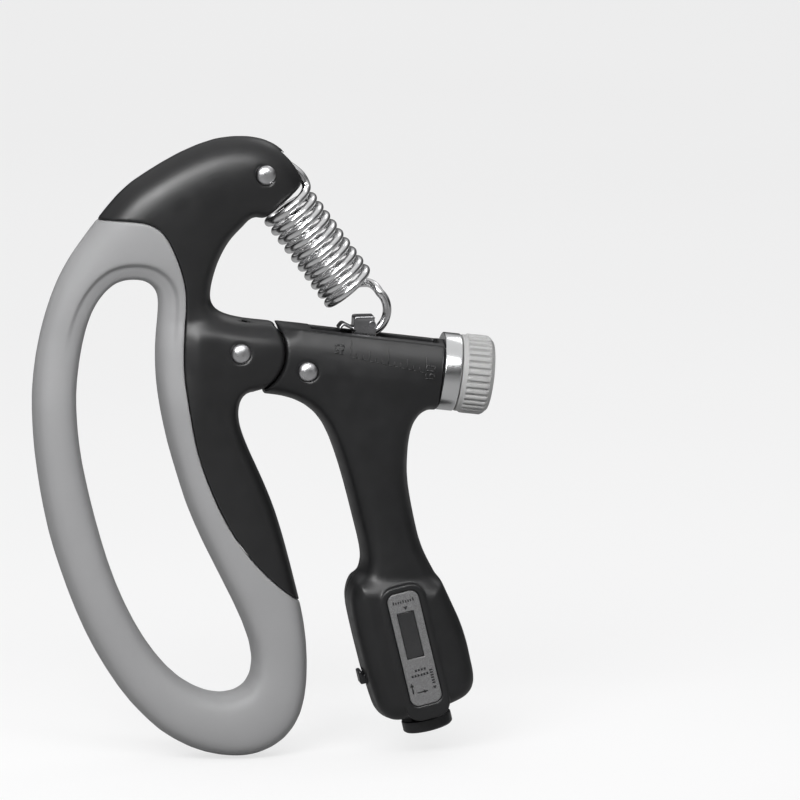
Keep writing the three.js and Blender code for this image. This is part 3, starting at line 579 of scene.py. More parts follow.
def tube(path, radius, sides, dome=3):
    """Round wire along a path, ends domed, its section carried along without twist."""
    t = np.gradient(path, axis=0)
    t /= np.linalg.norm(t, axis=1)[:, None]
    normal = np.array([0.31, 0.2, 0.93])
    normals = []
    for tangent in t:
        normal = normal - tangent * (normal @ tangent)
        normal /= np.linalg.norm(normal)
        normals.append(normal)
    binormals = np.cross(t, normals)
    angles = 2 * np.pi * np.arange(sides) / sides
    tilts = [k / (dome + 0.5) * math.pi / 2 for k in range(1, dome + 1)]
    rows = [(path[0] - t[0] * radius * math.sin(f), 0, radius * math.cos(f))
            for f in tilts[::-1]]
    rows += [(place, i, radius) for i, place in enumerate(path)]
    rows += [(path[-1] + t[-1] * radius * math.sin(f), -1, radius * math.cos(f))
             for f in tilts]
    rings = [centre + r * (np.outer(np.cos(angles), normals[i])
                           + np.outer(np.sin(angles), binormals[i])) for centre, i, r in rows]
    return capped(rings, path[0] - t[0] * radius, path[-1] + t[-1] * radius)


# ------------------------------------------------------------------ objects
def put(name, mesh, finish, body, slot, *nodes, smooth=True, sharp=None):
    """One piece riding on body; edges above sharp degrees stay hard."""
    v, faces = mesh
    data = bpy.data.meshes.new(name)
    groups = [np.asarray(f, np.int32) for f in faces if len(f)]
    data.vertices.add(len(v))
    data.vertices.foreach_set("co", to_frame(v).astype(np.float32).ravel())
    data.loops.add(sum(g.size for g in groups))
    data.loops.foreach_set("vertex_index", np.concatenate([g.ravel() for g in groups]))
    starts, offset = [], 0
    for g in groups:
        starts.append(offset + np.arange(len(g)) * g.shape[1])
        offset += g.size
    starts = np.concatenate(starts).astype(np.int32)
    data.polygons.add(len(starts))
    data.polygons.foreach_set("loop_start", starts)
    data.update(calc_edges=True)
    data.validate()
    if smooth:
        data.shade_smooth()
        if sharp:
            data.set_sharp_from_angle(angle=math.radians(sharp))
    piece = bpy.data.objects.new(name, data)
    bpy.context.scene.collection.objects.link(piece)
    data.materials.append(finish)
    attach(piece, body)
    if nodes:
        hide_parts(*nodes)
    return piece


def carve(name, make_field, low, high, step, finish, body, slot, node):
    grid = Grid(low, high, step)
    put(name, solid(make_field(grid), grid), finish, body, slot, node)


def follow(piece, group, weights, levels, anchor_name, place, body):
    """Hook part of a piece to an anchor on another body, by weights in even levels."""
    vertex_group = piece.vertex_groups.new(name=group)
    level = np.round(weights * levels).astype(int)
    for k in range(1, levels + 1):
        ids = np.nonzero(level == k)[0]
        if len(ids):
            vertex_group.add(ids.tolist(), k / levels, "REPLACE")
    anchor = bpy.data.objects.new(anchor_name, None)
    bpy.context.scene.collection.objects.link(anchor)
    anchor.location = Vector(to_frame(place))
    bpy.context.view_layer.update()
    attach(anchor, body)
    bpy.context.view_layer.update()
    hook = piece.modifiers.new(group, "HOOK")
    hook.object = anchor
    hook.vertex_group = group
    hook.falloff_type = "NONE"
    hook.matrix_inverse = anchor.matrix_world.inverted() @ piece.matrix_world


# ------------------------------------------------------------------ materials
class Shader:
    """Node tree filled step by step; its noises run in self.coords."""

    def __init__(self, tree):
        self.tree = tree
        tree.nodes.clear()

    def add(self, kind, inputs=(), **settings):
        node = self.tree.nodes.new("ShaderNode" + kind)
        for key, value in settings.items():
            setattr(node, key, value)
        return self.feed(node, inputs)

    def feed(self, node, inputs):
        """Set or link a node's inputs."""
        for key, value in dict(inputs).items():
            if isinstance(value, bpy.types.NodeSocket):
                self.tree.links.new(value, node.inputs[key])
            else:
                node.inputs[key].default_value = value
        return node

    def noise(self, scale, detail, stretch=None):
        coords = self.coords
        if stretch is not None:
            coords = self.add("Mapping", {"Scale": stretch, 0: coords}).outputs[0]
        return self.add("TexNoise", {"Scale": scale, "Detail": detail, "Roughness": 0.55,
                                     "Vector": coords}).outputs["Fac"]

    def remap(self, value, to_min, to_max, from_min=0.3, from_max=0.7):
        return self.add("MapRange", {"From Min": from_min, "From Max": from_max,
                                     "To Min": to_min, "To Max": to_max,
                                     "Value": value}).outputs["Result"]

    def two_tone(self, factor, dark, light):
        return self.add("Mix", {"A": (*dark, 1), "B": (*light, 1), "Factor": factor},
                        data_type="RGBA").outputs["Result"]


def material(name):
    made = bpy.data.materials.new(name)
    made.use_nodes = True
    shader = Shader(made.node_tree)
    shader.output = shader.add("OutputMaterial")
    shader.principled = shader.add("BsdfPrincipled")
    shader.feed(shader.output, {0: shader.principled.outputs[0]})
    shader.coords = shader.add("TexCoord").outputs["Object"]
    return made, shader


def surface(name, color, rough, metal=0.0, vary=0.12, tone=90.0, rough_vary=0.05,
            grain=2600.0, bump=0.00002, strength=0.3, specular=0.5, speck=0.0, stretch=None):
    """Procedural finish: blotchy tone, uneven roughness and a fine relief."""
    made, sh = material(name)
    color = np.array(color, float)
    base = sh.two_tone(sh.remap(sh.noise(tone, 4.0), 0, 1),
                       color * (1 - vary), np.minimum(color * (1 + vary), 1))
    if speck:
        speckled = sh.add("Mix", data_type="RGBA", blend_type="MULTIPLY")
        dots = sh.remap(sh.noise(grain * 0.9, 1.0), 0, 1, from_min=0.38, from_max=0.62)
        dots = sh.two_tone(dots, (0.35,) * 3, (1.5,) * 3)
        sh.feed(speckled, {"Factor": speck, "A": base, "B": dots})
        base = speckled.outputs["Result"]
    uneven = sh.remap(sh.noise(tone * 3.1, 3.0, stretch), rough - rough_vary, rough + rough_vary)
    relief = sh.add("Bump", {"Strength": strength, "Distance": bump})
    sh.feed(relief, {"Height": sh.noise(grain, 2.0, stretch)})
    sh.feed(sh.principled, {"Base Color": base, "Metallic": metal, "Roughness": uneven,
                            "Specular IOR Level": specular, "Normal": relief.outputs[0]})
    return made


def smoked_window():
    made, sh = material("window_smoked")
    tint = sh.two_tone(sh.remap(sh.noise(240, 3), 0, 1),
                       (0.026, 0.026, 0.027), (0.036, 0.036, 0.037))
    rough = sh.remap(sh.noise(500, 3), 0.16, 0.26)
    sh.feed(sh.principled, {"Base Color": tint, "Roughness": rough})
    clear = sh.add("BsdfTransparent", {0: (0.55, 0.55, 0.56, 1)})
    blend = sh.add("MixShader")
    sh.feed(blend, {0: sh.remap(sh.noise(120, 2), 0.10, 0.14),
                    1: sh.principled.outputs[0], 2: clear.outputs[0]})
    sh.feed(sh.output, {0: blend.outputs[0]})
    return made


BLACK = surface("black_plastic", (0.0125, 0.0125, 0.0130), rough=0.37, vary=0.14, tone=70,
                rough_vary=0.04, grain=3800, bump=0.000012, strength=0.35)
BLACK_SHELL = surface("black_plastic_module", (0.0105, 0.0106, 0.0112), rough=0.39, tone=80,
                      grain=3200, bump=0.000016, strength=0.4, specular=0.45)
BLACK_BUTTON = surface("black_plastic_button", (0.011, 0.0113, 0.0125), rough=0.33,
                       tone=120, grain=3000, bump=0.00001)
RUBBER = surface("grip_rubber", (0.285, 0.285, 0.289), rough=0.52, vary=0.03, tone=45,
                 grain=3300, strength=0.35, specular=0.35)
RIVET = surface("rivet_steel", (0.60, 0.60, 0.61), rough=0.33, metal=1.0, tone=260,
                rough_vary=0.07, grain=1500, bump=0.00001, strength=0.5)
DARK_STEEL = surface("screw_steel", (0.22, 0.22, 0.23), rough=0.34, metal=1.0, vary=0.15,
                     tone=300, rough_vary=0.08, grain=2400, bump=0.00001)
THREAD = surface("thread_steel", (0.50, 0.50, 0.50), rough=0.30, metal=1.0, tone=240,
                 rough_vary=0.06, grain=2200, bump=0.00001)
PLATE = surface("plate_steel", (0.48, 0.48, 0.49), rough=0.30, metal=1.0, vary=0.1, tone=200,
                rough_vary=0.06, grain=1800, bump=0.00001, stretch=(1, 1, 12))
SHEET = surface("bracket_steel", (0.42, 0.42, 0.43), rough=0.25, metal=1.0, vary=0.08,
                tone=200, rough_vary=0.04, grain=1600, bump=0.000002, stretch=(1, 8, 1))
CHROME = surface("chrome_ring", (0.84, 0.845, 0.85), rough=0.21, metal=1.0, vary=0.03,
                 tone=80, rough_vary=0.03, grain=1400, bump=0.000001, strength=0.1)
SPRING = surface("spring_steel", (0.93, 0.93, 0.935), rough=0.19, metal=1.0, vary=0.04,
                 tone=220, rough_vary=0.03, grain=1500, bump=0.000001, strength=0.1)
GREY = surface("grey_plastic", (0.385, 0.385, 0.383), rough=0.46, vary=0.03, tone=60,
               grain=3600, bump=0.000012, specular=0.4)
BRASS = surface("nut_brass", (0.60, 0.42, 0.17), rough=0.32, metal=1.0, vary=0.14, tone=220,
                rough_vary=0.07, grain=1800, bump=0.00001)
LABEL = surface("label_grey", (0.18, 0.18, 0.182), rough=0.46, metal=0.25, vary=0.07,
                tone=900, grain=7000, bump=0.000008, strength=0.4, speck=0.55)
INK = surface("label_ink", (0.009, 0.009, 0.0095), rough=0.55, vary=0.2, tone=900,
              rough_vary=0.06, grain=4000, bump=0.000004)
WHITE = surface("white_plastic", (0.72, 0.715, 0.70), rough=0.42, vary=0.03, tone=160,
                grain=3000, bump=0.000008)
WINDOW = smoked_window()


# ------------------------------------------------------------------ rivets
def rivet_hole(field, grid, centre, half):
    """Through bore and a seat in both faces; returns the cut field."""
    r = np.hypot(grid.flat_x - centre[0], grid.flat_z - centre[1])
    seat = meet(extrude(2.9 - r), np.abs(grid.y) - (half - 0.5), 0.2)
    return cut(cut(field, seat, 0.3), extrude(1.95 - r), 0.2)


def rivet(name, centre, half, body):
    """Domed on both faces, which lie half away from the middle."""
    head = 2.64
    top = half + 0.55
    profile = [(0, top + 0.36)]
    for a in np.radians(np.linspace(12, 84, 9)):
        profile.append((head * math.sin(a), top - 1.0 + 1.35 * math.cos(a)))
    profile += [(head, half - 0.36), (2.52, half - 0.46),
                (RIVET_SHANK, half - 0.47), (RIVET_SHANK, 0)]
    put(name + "_steel", lathe_y(mirrored(profile), *centre, 48), RIVET, body,
        "rivet_steel", name, name + "_cap", sharp=50)


# ------------------------------------------------------------------ front lever
def seam_distance(grid):
    """Distance to the seam, positive on the black frame's side."""
    count = 220
    line = smooth_open(SEAM, count, 1.2)
    index = np.arange(count)
    # the lower part runs smoother, except at the line's ends
    heavy = (ramp(-line[:, 1], 24.0, 40.0) * ramp(index[::-1], 0, 14)
             * ramp(index, 0, 14))[:, None]
    line = line * (1 - heavy) + smooth_open(SEAM, count, 7.0) * heavy
    black_side = np.vstack([line, [[45, -75], [45, 80], [-60, 80]]])
    return np.where(inside(grid, black_side), 1, -1) * line_distance(grid, line)


def lever_thickness(grid, seam):
    """Squared half thickness of the lever."""
    x, z = grid.flat_x, grid.flat_z
    hole = -signed(grid, smooth_loop(LEVER_HOLE, 260, 0.8))
    outer = signed(grid, smooth_loop(LEVER_OUTER, 420, 0.9))
    height = inflate(np.minimum(outer, hole), grid.step)
    low = ramp(-z, -14.0, 16.0)
    by_pivot = ramp(x, -13.0, -4.0) * ramp(z, -24.0, -12.0)
    towards_pivot = ramp(x, -32.0, -13.0)
    arm = ramp(z, 1.0, 9.5) * towards_pivot + ramp(z, 8.0, 30.0) * (1 - towards_pivot)
    fullness = (0.52 + 0.62 * low * (1 - by_pivot)) * (1 - arm) + 0.285 * arm
    squared = limit(fullness * height, 9.9 + 0.5 * arm, 3.2 + 0.8 * arm)
    # thinner along the seam at pivot height
    beside_seam = 1 - ramp(seam, 0.1, 4.4)
    squared = squared * (1 - 0.19 * beside_seam * ramp(z, -16.0, -2.0)
                         * (1 - ramp(z, 3.0, 12.0)))
    # step around the top of the opening
    lip = (1 - ramp(hole, 4.2, 5.1)) * ramp(z, -3.0, 17.0) * ramp(hole, 0.0, 2.2)
    return squared * (1 - 0.36 * blur(lip))


grid = Grid((-58.5, -11.2, -113), (21.5, 11.2, 60.5), 0.42)
seam = seam_distance(grid)
thick2 = lever_thickness(grid, seam)
lever = thicken(grid, thick2)

arm_edge = [(3.05, 31.98), (4.5, 26), (32, 26), (34, 52), (20.2, 47.14)]
lug_edge = ([(8.2, 30), (8.2, 8.95)] + arc(0, 0, 12.22, 47, -66.5, 60)
            + [(4.55, -14), (9, -14.5), (12, -19), (30, -19), (30, 30)])
plate_pocket = (arc(0, 0, 8.2, 60, 270, 40)
                + [(4.7, -9.0), (7.7, -9.6), (20, -10), (20, 6.6), (8.4, 6.6)])
hook_slot = (arc(PIN[0] + 1.2, PIN[1] - 1.5, 8.0, 40, 240, 40)
             + [(2.0, 34), (8, 28), (24, 36), (21.5, 50)])
black = cut(lever, extrude(signed(grid, arm_edge)), 1.5)
black = cut(black, extrude(signed(grid, lug_edge)), 1.1)
black = meet(black, extrude(seam) - 0.07, 0.4)
for outline, half_width, wall_edge, edge in ((plate_pocket, 2.75, 0.3, 0.4),
                                             (hook_slot, 1.75, 0.5, 0.45)):
    tool = meet(extrude(signed(grid, outline)), half_width - np.abs(grid.y), wall_edge)
    black = cut(black, tool, edge)
pivot_half = math.sqrt(value_at(grid, thick2, 0.0, 0.0))
pin_half = math.sqrt(value_at(grid, thick2, *PIN))
black = rivet_hole(black, grid, (0, 0), pivot_half)
black = rivet_hole(black, grid, PIN, pin_half)
put("front_frame_black", solid(black, grid), BLACK, "front_lever", "black_plastic",
    "front_frame")
sleeve = meet(lever, -extrude(seam) - 0.07, 0.5)
put("grip_sleeve_rubber", solid(sleeve, grid), RUBBER, "front_lever", "grip_rubber",
    "grip_sleeve")
rivet("pivot_rivet", (0, 0), pivot_half, "front_lever")
rivet("spring_rivet", PIN, pin_half, "spring_pin")


# ------------------------------------------------------------------ rear handle
def rear_thickness(grid):
    """Squared half thickness of handle and beam, before the counter housing."""
    split = next(i for i, (x, z) in enumerate(REAR) if x > 54.0)
    # the beam is carried past its end and cut square later
    line = (REAR[:split] + [BEAM.flat(6, 8.35), BEAM.flat(16, 8.2),
                            BEAM.flat(16, -10.6), BEAM.flat(4, -10.75)]
            + [(x, z) for x, z in REAR[split:] if not (x > 52.0 and z > -17.0)])
    gap = signed(grid, smooth_loop(line, 520, 0.75))
    hand = ramp(-grid.flat_z, 12.0, 30.0)
    squared = limit((0.53 + 0.32 * hand) * inflate(gap, grid.step), 9.85, 5.0)
    # the beam: full sides that lean back towards its top
    u, v = BEAM.coords(grid.flat_x, grid.flat_z)
    side = (8.9 - 0.033 * np.maximum(v + 1.0, 0) ** 2) ** 2
    side = np.where(gap > 0, np.minimum(side, 42.0 * gap), squared)
    on_side = ramp(v, -3.5, 2.5) * ramp(u, -44.0, -39.0)
    return squared * (1 - on_side) + side * on_side


rear_grid = grid = Grid((-3.4, -12.6, -103.8), (65.5, 12.6, 11.0), 0.40)
rear_thick2 = rear_thickness(grid)
y = grid.y
beam_u, beam_v = BEAM.coords(grid.flat_x, grid.flat_z)
beam_r = np.sqrt(extrude(beam_v) ** 2 + y ** 2)
count_u, count_v = COUNTER.coords(grid.flat_x, grid.flat_z)
count_r = np.sqrt(extrude(count_u) ** 2 + y ** 2)

housing = signed(grid, smooth_loop([p for p in REAR if p[1] < -62], 260, 0.9))
rear = unite(thicken(grid, rear_thick2), slab(grid, housing, 11.2, 4.7), 2.6)
label_boss = rect(count_u, count_v, (-5.9, 6.3), (1.2, 38.6), 4.0)
rear = unite(rear, meet(extrude(label_boss), np.minimum(y + 11.62, -y), 0.35), 0.25)


def pocket(flat, depth, edge):
    return meet(extrude(flat), depth, edge)


lever_socket = ([(-20, -30), (6.4, -30), (6.9, -12.6)] + arc(0, 0, 12.5, -57, 44, 60)
                + [(9.0, 20), (-20, 20)])
plate_slot = [(0, -8.9), (8, -8.9), (16, -9.4), (20.9, -8.9),
              (20.9, -1.2), (16, 2.6), (9, 5.6), (0, 7)]
counter_chamber = rect(count_u, count_v, (-9.4, 7.9), (4.2, 36.5), 2.5)
label_seat = rect(count_u, count_v, (-4.3, 4.7), (5.25, 36.95), 2.4)
button_slot = rect(count_u, count_v, (-20, -8), (13.05, 17.35), 0.5)
rear_cuts = (   # tool, edge rounding
    # square end of the beam
    (extrude(np.minimum(beam_u, beam_v + 14.0)), 0.3),
    (extrude(signed(grid, lever_socket)), 0.55),
    # wide bore along the beam and a narrow one a little deeper
    (meet(6.9 - beam_r, np.minimum(extrude(beam_u) + 33.0, 2.0 - extrude(beam_u)), 0.3), 0.25),
    (meet(3.3 - beam_r, np.minimum(extrude(beam_u) + 33.9, -extrude(beam_u)), 0.2), 0.2),
    # slot along the top of the beam
    (pocket(rect(beam_u, beam_v, (-36.4, -1.6), (2.0, 20.0)), 4.4 - np.abs(y), 0.5), 0.4),
    (pocket(signed(grid, plate_slot), 2.65 - np.abs(y), 0.3), 0.3),
    (pocket(counter_chamber, 8.3 - np.abs(y), 0.5), 0.3),
    (pocket(rect(count_u, count_v, *WINDOW_HOLE, 0.3), -5.0 - y, 0.3), 0.3),
    (pocket(label_seat, -11.05 - y, 0.1), 0.2),
    (pocket(button_slot, 3.3 - np.abs(y), 0.4), 0.4),
    # reset knob: hub bore and the wider mouth round it
    (meet(4.2 - count_r, 6.0 - extrude(count_v), 0.2), 0.3),
    (meet(7.25 - count_r, 0.6 - extrude(count_v), 0.3), 0.4),
)
for tool, edge in rear_cuts:
    rear = cut(rear, tool, edge)
handle_rivet_half = math.sqrt(value_at(grid, rear_thick2, *HANDLE_RIVET))
rear = rivet_hole(rear, grid, HANDLE_RIVET, handle_rivet_half)
for screw_x, screw_z in SCREWS:
    r = np.hypot(grid.flat_x - screw_x, grid.flat_z - screw_z)
    rear = cut(rear, pocket(2.55 - r, y - 5.0, 0.2), 0.35)
    rear = cut(rear, pocket(1.45 - r, y + 5.2, 0.2), 0.2)
for side, part in ((-1, "near"), (1, "far")):
    half = meet(rear, side * y - 0.045, 0.35)
    put(f"rear_shell_{part}_half", solid(half, grid), BLACK_SHELL, "rear_handle",
        "black_plastic", f"rear_shell_{part}")
rivet("handle_rivet", HANDLE_RIVET, handle_rivet_half, "rear_handle")


def screw_head(screw_x, screw_z):
    """Field maker of a domed cross-head on a short shank, seen from +Y."""
    def make(grid):
        dx, dz, y = np.abs(grid.x - screw_x), np.abs(grid.z - screw_z), grid.y
        r = np.sqrt((grid.x - screw_x) ** 2 + (grid.z - screw_z) ** 2)
        dome = 8.6 - np.sqrt(r * r + (y + 1.7) ** 2)
        head = meet(meet(2.35 - r, np.minimum(y - 5.0, 6.95 - y), 0.5), dome, 0.3)
        shank = meet(1.25 - r, np.minimum(y + 5.0, 5.6 - y), 0.2)
        cross = unite(np.minimum(0.42 - dx, 1.35 - dz), np.minimum(0.42 - dz, 1.35 - dx), 0.2)
        return cut(unite(head, shank, 0.3), np.minimum(cross, y - 5.75), 0.15)
    return make


for i, (screw_x, screw_z) in enumerate(SCREWS, 1):
    carve(f"shell_screw_head_{i}", screw_head(screw_x, screw_z),
          (screw_x - 2.8, -5.4, screw_z - 2.8), (screw_x + 2.8, 7.5, screw_z + 2.8), 0.17,
          DARK_STEEL, "rear_handle", "screw_steel", f"shell_screw_{i}")


def hinge_plate(grid):
    outline = smooth_loop(arc(0, 0, 7.5, 60, 270, 30)
                          + [(7.5, -7.6), (16, -8.6), (20.6, -8.3), (20.6, -1.6),
                             (16, 2.0), (9, 5.0)], 160, 0.3)
    field = slab(grid, signed(grid, outline), 2.4, 0.35)
    for x, z, radius in ((0, 0, 1.95), (*HANDLE_RIVET, 1.92)):
        around = np.sqrt((grid.x - x) ** 2 + (grid.z - z) ** 2) - radius
        field = meet(field, around, 0.2)
    return field


carve("hinge_plate_steel", hinge_plate, (-9.5, -3, -9.8), (22, 3, 9.5), 0.34,
      PLATE, "rear_handle", "plate_steel", "hinge_plate")


# ------------------------------------------------------------------ adjuster on the beam
# turned profiles are (radius, distance past the beam's end)
def lathe_beam(profile, count, radial=None):
    return lathe(profile, BEAM.origin, BEAM.u, BEAM.v, count, radial)


ring = fillet([(3.3, -1.4), (6.7, -1.4), (6.7, 0.1), (10.5, 0.1), (10.5, 4.75), (3.3, 4.75),
               (3.3, 1.0)], 0.42, 5)
put("end_ring_chrome", lathe_beam(ring, 128), CHROME, "rear_handle", "chrome_ring",
    "end_ring", sharp=40)

KNOB_BASE = 5.05
KNOB_FLUTES = 36
FLUTE_DEPTH = 0.62
FLUTE_CROWN = 0.10      # gentle swell between the flutes


def fluted(radius, height, angles):
    """Knob radii round one ring, fluted on its rim only."""
    up = height - KNOB_BASE
    rim = float(np.clip((up - 1.35) / 0.45, 0, 1) * np.clip((7.55 - up) / 0.5, 0, 1))
    rim = rim * rim * (3 - 2 * rim)
    turn = (angles * KNOB_FLUTES / (2 * np.pi)) % 1.0
    groove = np.clip((0.27 - np.abs(turn - 0.5)) / 0.15, 0, 1)
    groove = groove * groove * (3 - 2 * groove)
    swell = FLUTE_CROWN * np.cos(2 * np.pi * turn) * rim
    return radius - (FLUTE_DEPTH * groove * rim - swell) * (1 if radius > 8.5 else 0)


knob = fillet(np.array([(3.05, 6.0), (3.05, 0), (10.35, 0), (10.35, 1.2), (10.62, 1.6),
                        (10.62, 7.0), (10.35, 7.7), (9.3, 8.75), (6.6, 9.22), (0, 9.3)])
              + [0, KNOB_BASE], 0.5, 5)
knob = np.vstack([[(0, KNOB_BASE + 6.0)], subdivide(knob, 0.28, min_radius=9.5)])
put("adjuster_knob_grey", lathe_beam(knob, KNOB_FLUTES * 14, fluted), GREY, "adjuster",
    "grey_plastic", "adjuster_knob", sharp=45)


def threaded_rod(start, end, radius, depth, pitch, count=40):
    """Rod along the beam with a rolled thread, ends tapered."""
    angles = 2 * np.pi * np.arange(count) / count
    heights = np.arange(start, end + 1e-6, pitch / 12)
    rings = []
    for h in heights:
        phase = (h / pitch - angles / (2 * np.pi)) % 1.0
        valley = np.clip((np.abs(phase - 0.5) * 2 - 0.12) / 0.76, 0, 1)
        taper = max(min(1.0, h - start, end - h), 0)
        r = (radius - depth * valley) * (0.80 + 0.20 * taper ** 0.5)
        rings.append(BEAM.origin + BEAM.u * h + np.outer(r * np.cos(angles), BEAM.v)
                     + np.outer(r * np.sin(angles), Y_AXIS))
    return capped(rings, BEAM.at(heights[0], 0), BEAM.at(heights[-1], 0))


put("adjuster_screw_steel",
    threaded_rod(start=-33.3, end=KNOB_BASE + 5.9, radius=2.95, depth=0.5, pitch=2.0),
    THREAD, "adjuster", "screw_steel", "adjuster_screw", sharp=40)
clip = fillet([(3.04, -2.35), (5.6, -2.35), (5.6, -1.5), (3.04, -1.5), (3.04, -1.9)], 0.15, 3)
put("retaining_clip_steel", lathe_beam(clip, 64), DARK_STEEL, "adjuster", "screw_steel",
    "retaining_clip", sharp=40)


# ------------------------------------------------------------------ carriage
def carriage_nut(grid):
    u, v = BEAM.coords(grid.x, grid.z)
    r = np.sqrt(v * v + grid.y ** 2)
    field = meet(6.25 - r, np.minimum(u + 24.5, -15.7 - u), 0.6)
    field = meet(field, r - 3.12, 0.3)
    field = meet(field, 4.55 - v, 0.3)
    for cheek in CHEEKS:
        field = cut(field, np.minimum(0.68 - np.abs(grid.y - cheek), v - 3.5), 0.12)
    # knurled flank rings
    return field + 0.06 * np.cos(2 * np.pi * u / 1.5) * np.clip((r - 5.6) / 0.4, 0, 1)


nut_x, nut_z = BEAM.flat(-20.1, 0)
carve("carriage_nut_brass", carriage_nut, (nut_x - 7, -7, nut_z - 8),
      (nut_x + 7, 7, nut_z + 8), 0.22, BRASS, "carriage", "nut_brass", "carriage_nut")


def hook_bracket(grid):
    """Bent strip with two cheeks that reach down to the nut."""
    bend = spline([(36.6, 8.28), (34.5, 8.3), (32.25, 8.26), (31.78, 7.95), (31.72, 7.0),
                   (31.6, 5.75), (31.2, 5.4), (29.9, 5.95), (28.75, 6.55), (28.3, 6.5),
                   (27.9, 6.05), (27.5, 5.55)], 90)
    field = pocket(0.36 - line_distance(grid, bend), 2.84 - np.abs(grid.y), 0.25)
    side = smooth_loop([(31.45, 8.6), (36.8, 8.6), (37.0, 7.0), (37.2, 4.2), (37.3, 2.6),
                        BEAM.flat(-17.4, 3.6), BEAM.flat(-23.2, 3.6), (31.15, 3.2),
                        (31.3, 5.4)], 160, 0.22)
    flat = signed(grid, side)
    for cheek in CHEEKS:
        field = unite(field, pocket(flat, 0.56 - np.abs(grid.y - cheek), 0.3), 0.35)
    return field


carve("hook_bracket_steel", hook_bracket, (26.5, -4.6, 1.2), (39.4, 4.6, 9.8), 0.17,
      SHEET, "carriage", "plate_steel", "hook_bracket")
bracket_pin = mirrored(fillet([(0, 2.96), (0.98, 2.96), (0.98, 0)], 0.15, 3))
put("bracket_pin_steel", lathe_y(bracket_pin, *BRACKET_PIN, 40), SHEET, "carriage",
    "plate_steel", "bracket_pin", sharp=45)

# ------------------------------------------------------------------ tension spring
SPRING_DOWN = np.array([0.587, 0.0, -0.8096])     # from the pin towards the bracket
SPRING_SIDE = np.array([0.8096, 0.0, 0.587])
SPRING_TOP = point(*PIN)
COIL_RADIUS, HOOK_RADIUS, WIRE_RADIUS = 6.7, 6.5, 1.18
COIL_START, COIL_END, TURNS = 10.4, 40.2, 9.75
TURN_POINTS = 20
HOOK_CENTRE = (46.6, -0.3)                        # down, sideways


def on_spring(down, side, y=0.0):
    return SPRING_TOP + SPRING_DOWN * down + SPRING_SIDE * side + np.array([0, y, 0])


# upper hook
controls = [on_spring(*place) for place in (
    (1.6, -4.2), (0.3, -4.25), (-1.2, -3.7), (-2.95, -1.6), (-3.2, 0.7), (-2.3, 3.2),
    (0.1, 5.4), (3.3, 6.9), (6.5, 7.7), (9.0, 7.55),
    (COIL_START - 0.05, COIL_RADIUS + 0.15, -0.9))]
for i in range(2, int(TURNS * TURN_POINTS) + 1):
    a = 2 * np.pi * i / TURN_POINTS
    down = COIL_START + (COIL_END - COIL_START) * i / (TURNS * TURN_POINTS)
    controls.append(on_spring(down, COIL_RADIUS * math.cos(a), -COIL_RADIUS * math.sin(a)))
# lower hook
controls += [on_spring(COIL_END + 0.9, 3.4, 5.2), on_spring(COIL_END + 2.0, 5.4, 2.9),
             on_spring(COIL_END + 3.4, 6.1, 1.0)]
for degrees in range(-10, 141, 10):
    a = math.radians(degrees)
    controls.append(on_spring(HOOK_CENTRE[0] + HOOK_RADIUS * math.sin(a),
                              HOOK_CENTRE[1] + HOOK_RADIUS * math.cos(a)))
wire = tube(spline(controls, 1500), WIRE_RADIUS, 18)
spring = put("tension_spring_wire", wire, SPRING, "spring", "spring_steel", "tension_spring")
# the lower hook follows the bracket and the coils share the stretch
down = (wire[0] - SPRING_TOP) @ SPRING_DOWN
stretch_start, stretch_end = COIL_START - 0.5, COIL_END + 1.0
weights = np.clip((down - stretch_start) / (stretch_end - stretch_start), 0, 1)
follow(spring, "stretch", weights, 200, "spring_anchor", point(*BRACKET_PIN), "carriage")


# ------------------------------------------------------------------ counter face
def carve_counter(name, make_field, u_span, v_span, y_span, step, *labels):
    """carve over a box given in counter axes, widened by 1 mm in u and v."""
    corners = np.array([COUNTER.flat(u, v) for u in (u_span[0] - 1.0, u_span[1] + 1.0)
                        for v in (v_span[0] - 1.0, v_span[1] + 1.0)])
    (x0, z0), (x1, z1) = corners.min(0), corners.max(0)
    carve(name, make_field, (x0, y_span[0], z0), (x1, y_span[1], z1), step, *labels)


def label_plate(grid):
    u, v = COUNTER.coords(grid.flat_x, grid.flat_z)
    field = pocket(rect(u, v, LABEL_U, LABEL_V, 2.3),
                   np.minimum(grid.y + 11.72, -11.0 - grid.y), 0.2)
    return cut(field, extrude(rect(u, v, *WINDOW_HOLE, 0.12)), 0.16)


def counter_window(grid):
    u, v = COUNTER.coords(grid.flat_x, grid.flat_z)
    gap = 0.08
    pane = ((low + gap, high - gap) for low, high in WINDOW_HOLE)
    return pocket(rect(u, v, *pane, 0.15), np.minimum(grid.y + 11.45, -10.1 - grid.y), 0.2)


carve_counter("label_plate_grey", label_plate, (-4.1, 4.5), (5.4, 36.8), (-12.1, -10.6), 0.17,
              LABEL, "rear_handle", "label_grey", "label_plate")
carve_counter("counter_window_smoked", counter_window, (-2.3, 2.3), (18.5, 31.3),
              (-11.9, -9.6), 0.17, WINDOW, "rear_handle", "window_smoke", "counter_window")


def printed(outline, back=-11.76, front=-11.66):
    """Thin flat mark on the label, outline in counter axes, between two y."""
    outline = np.array(outline, float)
    u, v = outline.T
    if np.sum(u * np.roll(v, -1) - np.roll(u, -1) * v) < 0:
        outline = outline[::-1]
    rings = np.array([[COUNTER.at(u, v, y) for u, v in outline] for y in (back, front)])
    return capped(rings, rings[0].mean(0), rings[1].mean(0))


def triangle_down(u, v, size):
    return [(u - size, v + size * 0.7), (u + size, v + size * 0.7), (u, v - size * 0.9)]


